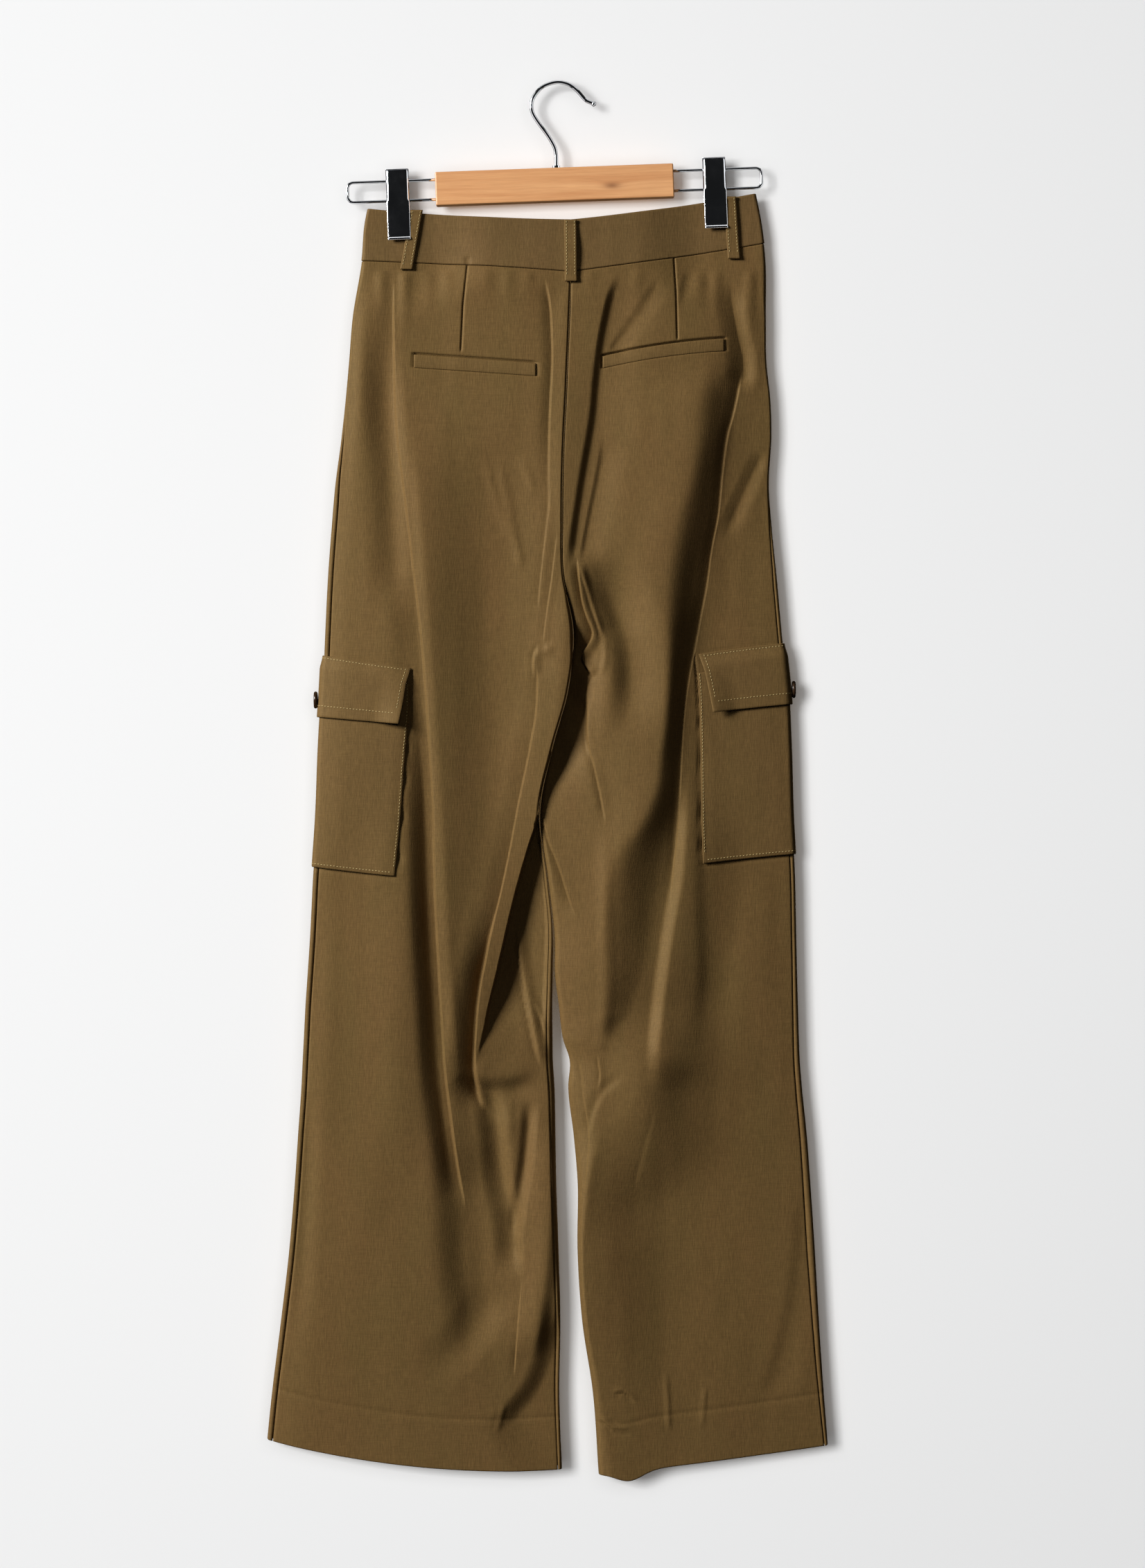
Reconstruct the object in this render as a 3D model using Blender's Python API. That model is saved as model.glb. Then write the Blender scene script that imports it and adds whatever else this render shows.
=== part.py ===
"""Cargo pants hung by the waistband from a wood and chrome clip hanger.

Sizes are in millimetres and every mesh is scaled to metres when it is made. x runs to the right as
the seat side is seen, drop runs down from the point where the hook bears on its rail, and depth is
how far the outer face of a wall stands from the middle plane of the flat-hung garment. The seat
side faces -Y, the fly side +Y, and the origin is the bearing point of the hook.

Each half of the garment is one flattened tube of points: the waistband, the hip and a leg. A panel
is the stretch of that tube between two seams, given a thickness; a pocket, flap, welt or loop is
made from the points of the panel it lies on, moved out.
"""

import math
from collections import namedtuple

import bmesh
import bpy
import numpy as np

MM = 0.001

# Cloth walls and the room between them
CLOTH = 1.2                # one ply of trouser cloth with its seam allowance
BAND_CLOTH = 2.0           # the waistband, two plies and its stiffening
BAND_PROUD = 0.35          # the waistband's face stands this far out of the panels' face
SEAM_GAP = 0.3
LAY_GAP = 0.35             # between a piece and the panel it is sewn on
FLAP_GAP = 0.6             # under the flap's sewn edge, whose ends cross the panel's columns
LEG_GAP = 0.5              # half the room between the legs just below the crotch

# Outline of the hung garment: x of the side folds and of the inner edges. Above the crotch both
# inner edges are the centre seam.
Outline = namedtuple("Outline", "drop left_side left_inner right_inner right_side")
OUTLINE = (
    Outline(94, -161.0, 10.0, 10.0, 168.0),
    Outline(120, -166.5, 10.0, 10.0, 173.0),
    Outline(150, -169.0, 10.0, 10.0, 176.5),
    Outline(200, -177.0, 8.5, 8.5, 177.0),
    Outline(270, -183.0, 5.5, 5.5, 181.0),
    Outline(345, -192.0, 2.5, 2.5, 179.5),
    Outline(420, -198.0, 3.0, 3.0, 186.0),
    Outline(470, -200.5, 12.0, 12.0, 190.5),
    Outline(520, -204.0, 7.0, 7.0, 196.5),
    Outline(570, -207.0, -6.5, -6.5, 199.0),
    Outline(625, -209.0, -17.0, -17.0, 200.5),
    Outline(680, -211.0, -10.5, -10.5, 202.0),
    Outline(730, -213.5, -5.5, -5.0, 203.0),
    Outline(790, -217.5, -5.5, -1.0, 204.5),
    Outline(835, -219.5, -5.0, 8.5, 206.0),
    Outline(860, -221.0, -3.5, 7.0, 208.0),
    Outline(940, -226.5, -2.0, 15.0, 215.0),
    Outline(1000, -231.5, 0.0, 15.0, 219.0),
    Outline(1060, -238.5, 1.5, 19.0, 222.5),
    Outline(1120, -246.0, 0.5, 28.0, 226.5),
    Outline(1190, -253.0, 3.0, 33.0, 232.0),
)
CROTCH_DROP = 470.0
CENTRE_X = 5.0

# Cross-section of the tubes: the half thickness and the radius of a fold's edge, and how far the
# two walls bulge beyond it.
Section = namedtuple("Section", "drop edge_depth edge_radius seat_bulge fly_bulge")
SECTIONS = (
    Section(94, 1.9, 2.4, 7.0, 6.0),
    Section(135, 2.0, 2.5, 8.0, 7.0),
    Section(162, 3.0, 4.0, 9.0, 7.0),
    Section(230, 6.0, 6.0, 11.0, 8.0),
    Section(350, 8.0, 8.0, 12.0, 9.0),
    Section(470, 8.0, 8.0, 12.0, 8.0),
    Section(600, 8.0, 8.0, 10.0, 7.0),
    Section(900, 7.0, 7.0, 8.0, 6.0),
    Section(1190, 7.0, 7.0, 8.0, 7.0),
)
SIDE_BLEND = 26.0          # bulge and folds die out over this width at the side folds
CLIP_REACH = 115.0         # the waist bulges only between the clips, this far from the centre
HIP_REACH = 205.0
CLIP_REACH_DROP = 150.0
HIP_REACH_DROP = 260.0
REACH_BLEND = 55.0
PINCH_START_DROP = 395.0   # from here down to the crotch the centre seams sink between the legs

# How the cloth turns in at the inner edges, and where the seams lie from the folded edges. A seam
# inset is positive where the fly panel wraps round to the seat side.
InnerEdge = namedtuple("InnerEdge", "drop left_blend right_blend left_inset right_inset")
INNER_EDGES = (
    InnerEdge(470, 5.0, 14.0, 0.0, 0.0),
    InnerEdge(560, 5.0, 18.0, 0.5, 0.0),
    InnerEdge(620, 6.0, 7.0, 2.0, 0.0),
    InnerEdge(700, 12.0, 8.0, 5.0, 0.0),
    InnerEdge(830, 18.0, 14.0, 6.0, 0.0),
    InnerEdge(1190, 20.0, 20.0, 4.0, 0.0),
)
SIDE_INSET = {"left": 5.0, "right": 3.5}

# Rows of the tubes. Each level gives the drop at the side fold and at the inner edge, how far its
# middle hangs below the straight line between them, and the rows down to the next level.
Level = namedtuple("Level", "name left_side left_bow right_side right_bow inner_left inner_right rows")
LEVELS = (
    Level("band_top", 107.0, 0.0, 94.0, 1.0, 117.0, 117.0, 2),
    Level("waist_seam", 152.0, -1.0, 137.0, 1.0, 162.0, 162.0, 2),
    Level("welt_top", 228.0, 0.0, 214.0, 0.0, 241.0, 241.0, 1),
    Level("welt_bottom", 240.0, 0.0, 227.0, 0.0, 252.0, 252.0, 5),
    Level("crotch", 452.0, 0.0, 446.0, 0.0, 470.0, 470.0, 1),
    Level("flap_top", 490.0, 3.5, 479.5, -3.5, 512.0, 512.0, 1),
    Level("pocket_top", 505.0, 2.5, 495.0, -2.5, 527.0, 527.0, 1),
    Level("flap_bottom", 543.0, 1.0, 532.0, -1.5, 557.0, 557.0, 4),
    Level("pocket_bottom", 671.0, 2.0, 660.0, -2.5, 688.0, 688.0, 3),
    Level("knee", 785.0, 4.0, 775.0, 0.0, 800.0, 800.0, 9),
    Level("hem", 1161.0, 12.0, 1166.0, 5.0, 1186.0, 1190.0, 0),
)
SEAT_COLUMNS = 22
COLUMN_CROWDING = 0.35     # 0 spaces the columns evenly, 1 crowds them fully to the seams
WRAP_COLUMNS = 3           # columns of a fly panel round each folded edge
FLY_COLUMNS = 10

# The largest folds of each face. A path runs down the fold's crest, or its trough where the height
# is negative; left and right are the widths of its two flanks, fade the length of its tapered ends.
Fold = namedtuple("Fold", "name path height left right fade")
SEAT_FOLDS = (
    Fold("left long ridge", ((-138, 250), (-119, 480), (-106, 700), (-87, 920)), 7.0, 10, 45, 140),
    Fold("left long trough", ((-152, 330), (-137, 500), (-128, 660), (-117, 860), (-95, 1010)),
         -6.0, 32, 10, 120),
    Fold("left outer swell", ((-165, 640), (-160, 800), (-172, 1000)), 3.0, 35, 30, 90),
    Fold("left inner pleat", ((-20, 500), (-28, 590), (-47, 695), (-76, 835)), 4.0, 14, 14, 40),
    Fold("left inner drop", ((12, 470), (2, 540), (-17, 615), (-35, 685), (-72, 824)),
         -14.0, 7, 48, 50),
    Fold("left knee hook", ((-72, 740), (-77, 800), (-77, 852)), -7.0, 16, 8, 30),
    Fold("left knee ridge", ((-36, 745), (-28, 785), (-13, 845)), 4.0, 12, 10, 30),
    Fold("left shin trough", ((-84, 850), (-66, 915), (-42, 1000)), -4.0, 22, 12, 40),
    Fold("left shin ridge", ((-22, 860), (-28, 960), (-37, 1090)), 3.0, 14, 25, 50),
    Fold("left hem trough", ((0, 1060), (-25, 1120), (-100, 1182)), -3.0, 18, 18, 30),
    Fold("right hip trough", ((52, 167), (33, 220), (24, 300), (13, 400)), -4.0, 18, 8, 40),
    Fold("right long trough", ((152, 260), (128, 380), (108, 500), (98, 640), (84, 740)),
         -9.0, 48, 9, 80),
    Fold("right long ridge", ((157, 260), (136, 375), (115, 490), (104, 610), (95, 840)),
         6.0, 8, 38, 80),
    Fold("right crotch ridge", ((23, 515), (27, 590), (38, 650), (39, 760), (36, 832)),
         6.0, 9, 26, 40),
    Fold("right inner ridge", ((-17, 628), (0, 665), (20, 720)), 3.0, 8, 14, 25),
    Fold("right side dip", ((184, 325), (160, 350), (140, 395)), -2.5, 14, 14, 20),
    Fold("right knee trough", ((105, 828), (82, 890), (60, 940)), -3.0, 20, 14, 30),
    Fold("right shin trough", ((60, 900), (55, 990), (60, 1080)), -4.0, 38, 45, 60),
    Fold("right shin ridge", ((125, 860), (138, 1000), (150, 1160)), 3.0, 30, 30, 90),
    Fold("right hem ridge", ((90, 1080), (94, 1188)), 2.5, 14, 14, 30),
)
FLY_FOLDS = (
    Fold("left crease", ((-108, 300), (-104, 700), (-118, 1150)), 5.0, 24, 42, 150),
    Fold("left thigh trough", ((-40, 480), (-66, 620), (-84, 780)), -4.0, 22, 18, 60),
    Fold("left shin trough", ((-168, 690), (-156, 900), (-160, 1120)), -3.0, 22, 26, 80),
    Fold("right crease", ((112, 300), (106, 700), (122, 1150)), 5.0, 42, 24, 150),
    Fold("right thigh trough", ((52, 480), (70, 620), (88, 780)), -4.0, 18, 22, 60),
    Fold("right shin trough", ((168, 640), (156, 880), (160, 1120)), -3.0, 26, 22, 80),
)
PATH_STEPS = 6             # straight steps between two points of a fold's path

# Pieces sewn on the panels
POCKET_REACH = {"left": 0.355, "right": 0.385}   # share of the leg's width, from the side fold
FLAP_REACH = {"left": (0.362, 0.352, 0.332), "right": (0.400, 0.375, 0.340)}   # at its three rows
WELT_ENDS = {"left": (-125.0, -19.5), "right": (142.0, 36.5)}
WELT_CLOTH = 1.0
FLY_WIDTH = 36.0
LOOP_CLOTH = 1.2
LOOP_WIDTH = 10.5
LOOP_STEPS = 5
# lift is how far the middle of a loop stands off the band: those under the clips are pressed flat
Loop = namedtuple("Loop", "name face top_x top_drop bottom_x bottom_drop lift")
LOOPS = (
    Loop("belt_loop_centre_back", "seat", 9.5, 117.5, 10.0, 171.0, 1.6),
    Loop("belt_loop_back_left", "seat", -122.0, 108.5, -131.0, 160.0, 0.1),
    Loop("belt_loop_back_right", "seat", 146.0, 97.0, 149.5, 150.5, 0.1),
    Loop("belt_loop_front_left", "fly", -56.0, 116.5, -57.0, 167.0, 1.6),
    Loop("belt_loop_front_right", "fly", 66.0, 112.5, 67.0, 164.0, 1.6),
)
BUTTON_RADIUS = 7.3
BUTTON_THICKNESS = 3.0
BUTTON_RIM = 1.3
BUTTON_DISH = 0.6
BUTTON_SIDES = 20
FLAP_BUTTON_DROP = {"left": 528.0, "right": 519.0}
WAIST_BUTTON_X = -3.0
WAIST_BUTTON_DROP = 139.0

# Hanger, in the frame of its bar: the bar lies along X and leans with its right end up
BAR_CENTRE_X = -4.0
BAR_CENTRE_DROP = 86.8
BAR_LEAN = math.radians(2.1)
BAR_SIZE = (204.0, 12.0, 28.5)
BAR_EDGE = 1.0
WIRE_RADIUS = 1.25
WIRE_SPACING = 17.0
WIRE_END = 177.5           # centreline of a loop's outer end, from the middle of the bar
WIRE_CORNER = 4.5
CLIP_X = {"left": -134.5, "right": 137.0}
CLIP_TOP = 18.2            # above the middle of the bar
CLIP_HEIGHT = 61.0
CLIP_WIDTH = 19.5
CLIP_STEEL = 0.9
BACK_JAW_DEPTH = 4.6       # inner face of the seat-side jaw, over the belt loop
FRONT_JAW_DEPTH = 2.7      # inner face of the fly-side jaw, on the band
FLANGE_CLEAR = 0.35        # between a jaw's side flanges and the wires
FLANGE_DROP = 25.0         # the flanges are deep from the top down to here, above the band
FLANGE_TAPER = 3.0
HOOK_RADIUS = 1.6
HOOK_BALL_RADIUS = 2.3
HOOK_LINE = ((-2.6, 71.7), (-2.9, 62.0), (-4.2, 54.0), (-10.0, 44.0), (-17.7, 33.5), (-23.0, 24.5),
             (-23.8, 16.3), (-20.8, 9.2), (-14.0, 2.2), (-2.6, -1.55), (7.5, 0.1), (15.0, 5.5),
             (22.4, 13.6), (28.0, 16.4))
HOOK_STEPS = 3
HOOK_SIDES = 8
FERRULE_RADIUS = 3.2
FERRULE_HEIGHT = 2.0

# name: base colour (linear), roughness, metallic
MATERIALS = {
    "twill": ((0.165, 0.102, 0.036), 0.72, 0.0),
    "twill_band": ((0.155, 0.094, 0.034), 0.72, 0.0),
    "twill_trim": ((0.175, 0.110, 0.040), 0.72, 0.0),
    "horn": ((0.035, 0.022, 0.013), 0.35, 0.0),
    "wood": ((0.62, 0.30, 0.12), 0.5, 0.0),
    "chrome": ((0.80, 0.82, 0.84), 0.12, 1.0),
}


def soft_step(value):
    """0 below 0, 1 above 1, and a smooth rise between."""
    value = np.clip(value, 0.0, 1.0)
    return value * value * (3.0 - 2.0 * value)


def read_table(table, column, drop):
    """A column of a table at any drop, on a smooth curve through its rows."""
    drops = np.array([row.drop for row in table], dtype=float)
    values = np.array([getattr(row, column) for row in table], dtype=float)
    slopes = np.gradient(values, drops)
    drop = np.clip(drop, drops[0], drops[-1])
    low = np.clip(np.searchsorted(drops, drop) - 1, 0, len(drops) - 2)
    span = drops[low + 1] - drops[low]
    t = (drop - drops[low]) / span
    start = (1 + 2 * t) * (1 - t) ** 2 * values[low] + t * (1 - t) ** 2 * span * slopes[low]
    end = t * t * (3 - 2 * t) * values[low + 1] + t * t * (t - 1) * span * slopes[low + 1]
    return start + end


def smooth_path(points, steps):
    """Points on a Catmull-Rom curve through the given ones, with some steps between each two."""
    points = np.array(points, dtype=float)
    padded = np.vstack([2 * points[0] - points[1], points, 2 * points[-1] - points[-2]])
    path = []
    for before, here, after, beyond in zip(padded, padded[1:], padded[2:], padded[3:]):
        for t in np.arange(steps) / steps:
            path.append(0.5 * (2 * here + (after - before) * t
                               + (2 * before - 5 * here + 4 * after - beyond) * t ** 2
                               + (3 * here - before - 3 * after + beyond) * t ** 3))
    path.append(points[-1])
    return np.array(path)


def fold_height(fold, x, drop):
    """How far one fold lifts the cloth at each point."""
    path = smooth_path(fold.path, PATH_STEPS)
    nearest = np.full(x.shape, np.inf)
    offset = np.zeros(x.shape)
    along = np.zeros(x.shape)
    travelled = 0.0
    for (x0, drop0), (x1, drop1) in zip(path, path[1:]):
        run, fall = x1 - x0, drop1 - drop0
        length = math.hypot(run, fall)
        t = np.clip(((x - x0) * run + (drop - drop0) * fall) / length ** 2, 0.0, 1.0)
        away_x = x - x0 - t * run
        away_drop = drop - drop0 - t * fall
        distance = np.hypot(away_x, away_drop)
        closer = distance < nearest
        nearest = np.where(closer, distance, nearest)
        offset = np.where(closer, distance * np.sign(away_x * fall - away_drop * run), offset)
        along = np.where(closer, travelled + t * length, along)
        travelled += length
    reach = np.where(offset < 0, fold.left, fold.right)
    flank = soft_step(1.0 - np.abs(offset) / reach)
    ends = soft_step(along / fold.fade) * soft_step((travelled - along) / fold.fade)
    return fold.height * flank * ends


def round_edge(from_edge, radius):
    """Share of the full edge depth that a quarter-round has reached."""
    rest = 1.0 - np.clip(from_edge / radius, 0.0, 1.0)
    return np.sqrt(1.0 - rest * rest)


def wall_depth(side, face, x, drop):
    """Depth of a face of one half of the garment at points x, drop."""
    toward_centre = 1.0 if side == "left" else -1.0
    from_side = toward_centre * (x - read_table(OUTLINE, side + "_side", drop))
    from_inner = toward_centre * (read_table(OUTLINE, side + "_inner", drop) - x)
    edge_depth = read_table(SECTIONS, "edge_depth", drop)
    edge_radius = read_table(SECTIONS, "edge_radius", drop)
    inner_blend = read_table(INNER_EDGES, side + "_blend", drop)
    inner_radius = np.minimum(edge_radius, inner_blend)
    parted = soft_step((drop - PINCH_START_DROP) / (CROTCH_DROP - PINCH_START_DROP))

    side_round = round_edge(from_side, edge_radius)
    inner_round = 1.0 - parted * (1.0 - round_edge(from_inner, inner_radius))
    side_blend = soft_step(from_side / SIDE_BLEND)
    inner_blend = 1.0 - parted * (1.0 - soft_step(from_inner / inner_blend))

    below_clips = soft_step((drop - CLIP_REACH_DROP) / (HIP_REACH_DROP - CLIP_REACH_DROP))
    reach = CLIP_REACH + (HIP_REACH - CLIP_REACH) * below_clips
    crown = soft_step((reach - np.abs(x - CENTRE_X)) / REACH_BLEND)
    lift = crown * read_table(SECTIONS, face + "_bulge", drop)
    for fold in SEAT_FOLDS if face == "seat" else FLY_FOLDS:
        lift = lift + fold_height(fold, x, drop)
    return edge_depth * side_round * inner_round + lift * side_blend * inner_blend


def level_rows(side):
    """Drop at the side fold and at the inner edge, and bow, of every row, and each level's row."""
    rows, index = [], {}
    for level, following in zip(LEVELS, LEVELS[1:] + LEVELS[-1:]):
        index[level.name] = len(rows)
        here = np.array([getattr(level, side + "_side"), getattr(level, "inner_" + side),
                         getattr(level, side + "_bow")])
        there = np.array([getattr(following, side + "_side"), getattr(following, "inner_" + side),
                          getattr(following, side + "_bow")])
        for step in range(max(level.rows, 1)):
            rows.append(here + (there - here) * step / max(level.rows, 1))
    return np.array(rows), index


def wrap_positions(inset, radius, steps):
    """Signed distances from a folded edge, from a seam on the seat side round to the fly side."""
    start = math.acos(max(-1.0, 1.0 - inset / radius)) if inset > 0 else 0.0
    angles = np.linspace(start, -math.pi / 2, steps + 1)
    return np.sign(angles) * radius * (1.0 - np.cos(angles))


def place(side, face, x, drop):
    """Points of a face at x, drop, as x, y, z in millimetres."""
    depth = wall_depth(side, face, x, drop)
    return np.stack([x, -depth if face == "seat" else depth, -drop], axis=-1)


def make_tube(side):
    """Seat and fly grids of one half, rows downwards and columns from the side to the inner seam."""
    toward_centre = 1.0 if side == "left" else -1.0
    rows, index = level_rows(side)
    even = np.linspace(0.0, 1.0, SEAT_COLUMNS + 1)
    crowded = (1.0 - COLUMN_CROWDING) * even + COLUMN_CROWDING * (1 - np.cos(math.pi * even)) / 2
    seat, fly = [], []
    for side_drop, inner_drop, bow in rows:
        side_x = float(read_table(OUTLINE, side + "_side", side_drop))
        inner_x = float(read_table(OUTLINE, side + "_inner", inner_drop))
        parted = float(soft_step((inner_drop - CROTCH_DROP) / 40.0))
        inner_x -= toward_centre * (SEAM_GAP / 2 + (LEG_GAP - SEAM_GAP / 2) * parted)
        width = abs(inner_x - side_x)
        radius = float(read_table(SECTIONS, "edge_radius", side_drop))
        inner_inset = float(read_table(INNER_EDGES, side + "_inset", inner_drop))
        side_inset = min(SIDE_INSET[side], 0.8 * radius)

        def spot(from_side):
            across = from_side / width
            drop = side_drop + (inner_drop - side_drop) * across + 4 * bow * across * (1 - across)
            return side_x + toward_centre * from_side, drop

        seat_at = side_inset + (width - side_inset - inner_inset) * crowded
        seat.append(place(side, "seat", *spot(seat_at)))

        round_side = wrap_positions(side_inset, radius, WRAP_COLUMNS)
        flat = np.linspace(radius, width - radius, FLY_COLUMNS + 1)[1:-1]
        round_inner = wrap_positions(inner_inset, radius, WRAP_COLUMNS)[::-1]
        on_seat = np.concatenate([round_side > 0, flat < 0, round_inner > 0])
        fly_at = np.concatenate([np.abs(round_side), flat, width - np.abs(round_inner)])
        behind = place(side, "fly", *spot(fly_at))
        before = place(side, "seat", *spot(fly_at))
        fly.append(np.where(on_seat[:, None], before, behind))
    return np.array(seat), np.array(fly), index


def unit(vectors):
    return vectors / np.linalg.norm(vectors, axis=-1, keepdims=True)


def grid_normals(points, outward):
    """Unit normals of a grid; outward is 1 or -1."""
    across = np.gradient(points, axis=1)
    down = np.gradient(points, axis=0)
    return unit(outward * np.cross(across, down))


def tube_normals(side, seat, fly, index):
    """Normals of both grids, which agree where their seams meet."""
    turn = 1.0 if side == "left" else -1.0
    seat_normals = grid_normals(seat, -turn)
    fly_normals = grid_normals(fly, turn)
    crotch = index["crotch"]
    side_seam = unit(seat_normals[:, 0] + fly_normals[:, 0])
    seat_normals[:, 0] = fly_normals[:, 0] = side_seam
    inseam = unit(seat_normals[crotch:, -1] + fly_normals[crotch:, -1])
    seat_normals[crotch:, -1] = fly_normals[crotch:, -1] = inseam
    for normals in (seat_normals, fly_normals):
        centre_seam = normals[:crotch, -1]
        centre_seam[:, 0] = 0.0
        normals[:crotch, -1] = unit(centre_seam)
    return seat_normals, fly_normals


def draw_in(points, first_rows, last_rows, first_gap, last_gap):
    """Pull the edge columns of a grid back from their seams, over the given rows."""
    drawn = points.copy()
    step = unit(points[first_rows, 1] - points[first_rows, 0])
    drawn[first_rows, 0] += first_gap * step
    step = unit(points[last_rows, -2] - points[last_rows, -1])
    drawn[last_rows, -1] += last_gap * step
    return drawn


def cut_columns(grid, first, last):
    """Part of a grid between two column positions, which may fall between columns, row by row."""
    whole = np.arange(math.ceil(first.max() + 0.2), math.floor(last.min() - 0.2) + 1)
    row = np.arange(len(grid))

    def between(position):
        low = np.minimum(np.floor(position).astype(int), grid.shape[1] - 2)
        share = (position - low)[:, None]
        return grid[row, low] * (1 - share) + grid[row, low + 1] * share

    return np.concatenate([between(first)[:, None], grid[:, whole], between(last)[:, None]], axis=1)


def new_material(key):
    colour, roughness, metallic = MATERIALS[key]
    material = bpy.data.materials.new(key)
    material.use_nodes = True
    shader = material.node_tree.nodes["Principled BSDF"]
    shader.inputs["Base Color"].default_value = (*colour, 1.0)
    shader.inputs["Roughness"].default_value = roughness
    shader.inputs["Metallic"].default_value = metallic
    material.diffuse_color = (*colour, 1.0)
    return material


def add_object(name, vertices, faces, material, parent=None, smooth_angle=50.0):
    """One named solid, its faces turned outwards."""
    mesh = bpy.data.meshes.new(name)
    mesh.from_pydata([tuple(MM * value for value in vertex) for vertex in vertices], [],
                     [tuple(int(corner) for corner in face) for face in faces])
    shape = bmesh.new()
    shape.from_mesh(mesh)
    bmesh.ops.recalc_face_normals(shape, faces=shape.faces)
    shape.to_mesh(mesh)
    shape.free()
    mesh.shade_smooth()
    mesh.set_sharp_from_angle(angle=math.radians(smooth_angle))
    mesh.materials.append(new_material(material))
    piece = bpy.data.objects.new(name, mesh)
    piece.parent = parent
    bpy.context.collection.objects.link(piece)
    return piece


def add_wall(name, outer, inner, material):
    """A closed wall between two grids of points, every cell cut on the same diagonal."""
    rows, columns = outer.shape[:2]
    near = np.arange(rows * columns).reshape(rows, columns)
    far = near + rows * columns
    faces = []

    def patch(a, b, c, d):
        faces.extend(((a, b, c), (a, c, d)))

    for row in range(rows - 1):
        for column in range(columns - 1):
            for sheet in (near, far):
                patch(sheet[row, column], sheet[row, column + 1],
                      sheet[row + 1, column + 1], sheet[row + 1, column])
    rim = np.concatenate([near[0, :-1], near[:-1, -1], near[-1, :0:-1], near[:0:-1, 0]])
    for here, there in zip(rim, np.roll(rim, -1)):
        patch(here, there, there + rows * columns, here + rows * columns)
    vertices = np.concatenate([outer.reshape(-1, 3), inner.reshape(-1, 3)])
    return add_object(name, vertices, faces, material)


def add_layer(name, points, normals, lift, thickness, material):
    """A piece that lies on a grid of points, moved out by lift at its under face."""
    lift = np.broadcast_to(lift, points.shape[:1])[:, None, None]
    return add_wall(name, points + normals * (lift + thickness), points + normals * lift, material)


def add_panels(side, seat, fly, seat_normals, fly_normals, index):
    """Seat and fly panel of one half, from the waist seam to the hem."""
    waist, crotch = index["waist_seam"], index["crotch"] - index["waist_seam"]
    for name, points, normals, order in (("back_panel_", seat, seat_normals, -1),
                                         ("front_panel_", fly, fly_normals, 1)):
        points, normals = points[waist:], normals[waist:]
        every, legs = slice(None), slice(crotch, None)
        points = draw_in(points, every, legs, SEAM_GAP / 2, SEAM_GAP / 2)
        points[0, :, 2] -= SEAM_GAP / 2
        inner = points - normals * CLOTH
        add_wall(name + side, points[:, ::order], inner[:, ::order], "twill")


def side_ring(seat, fly):
    """Columns from the inner edge of the seat, round the side fold, to the inner edge of the fly."""
    return np.concatenate([seat[:, ::-1], fly[:, 1:]], axis=1)


def add_waistband(side, ring, normals, index):
    rows = slice(index["band_top"], index["waist_seam"] + 1)
    points = ring[rows].copy()
    points[-1, :, 2] += SEAM_GAP / 2
    outer = points + normals[rows] * BAND_PROUD
    inner = points - normals[rows] * (BAND_CLOTH - BAND_PROUD)
    add_wall("waistband_" + side, outer, inner, "twill_band")


def ring_position(ring, row, face, reach):
    """Column position at a share of the half's width from the side fold, on either face."""
    x = ring[row, :, 0]
    fold = int(np.argmax(np.abs(x)))
    target = x[fold] + (x[0] - x[fold]) * reach
    columns = np.arange(len(x))
    if face == "seat":
        order = np.argsort(x[:fold + 1])
        return float(np.interp(target, x[:fold + 1][order], columns[:fold + 1][order]))
    order = np.argsort(x[fold:])
    return float(np.interp(target, x[fold:][order], columns[fold:][order]))


def add_cargo_pocket(side, ring, normals, index):
    """The pocket wraps the side; its flap overlaps it and is sewn to the leg above it."""
    rows = np.arange(index["pocket_top"], index["pocket_bottom"] + 1)
    first = np.array([ring_position(ring, row, "seat", POCKET_REACH[side]) for row in rows])
    last = np.array([ring_position(ring, row, "fly", POCKET_REACH[side]) for row in rows])
    add_layer("cargo_pocket_" + side, cut_columns(ring[rows], first, last),
              unit(cut_columns(normals[rows], first, last)), LAY_GAP, CLOTH, "twill_trim")
    rows = np.array([index[name] for name in ("flap_top", "pocket_top", "flap_bottom")])
    reaches = FLAP_REACH[side]
    first = np.array([ring_position(ring, row, "seat", reach) for row, reach in zip(rows, reaches)])
    last = np.array([ring_position(ring, row, "fly", reach) for row, reach in zip(rows, reaches)])
    over_pocket = LAY_GAP + CLOTH + FLAP_GAP
    lift = np.array([FLAP_GAP, over_pocket, over_pocket])
    add_layer("cargo_flap_" + side, cut_columns(ring[rows], first, last),
              unit(cut_columns(normals[rows], first, last)), lift, CLOTH, "twill_trim")


def add_welt(side, seat, normals, index):
    rows = slice(index["welt_top"], index["welt_bottom"] + 1)
    points = seat[rows]
    turn = 1 if side == "left" else -1
    ends = [np.array([np.interp(turn * x, turn * row[:, 0], np.arange(len(row)))
                      for row in points]) for x in WELT_ENDS[side]]
    add_layer("seat_welt_" + side, cut_columns(points, *ends)[:, ::-1],
              unit(cut_columns(normals[rows], *ends))[:, ::-1], LAY_GAP, WELT_CLOTH, "twill_trim")


def add_fly(fly, normals, index):
    """The fly's facing edge, a strip on the left front beside the centre seam."""
    rows = slice(index["waist_seam"], index["welt_bottom"] + 2)
    points = fly[rows].copy()
    points[0, :, 2] -= SEAM_GAP
    last = np.full(len(points), points.shape[1] - 1.0) - 0.02
    first = np.array([np.interp(row[-1, 0] - FLY_WIDTH, row[WRAP_COLUMNS:, 0],
                                np.arange(WRAP_COLUMNS, len(row))) for row in points])
    add_layer("fly_strip", cut_columns(points, first, last), unit(cut_columns(normals[rows], first, last)),
              LAY_GAP, CLOTH, "twill_trim")


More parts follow.
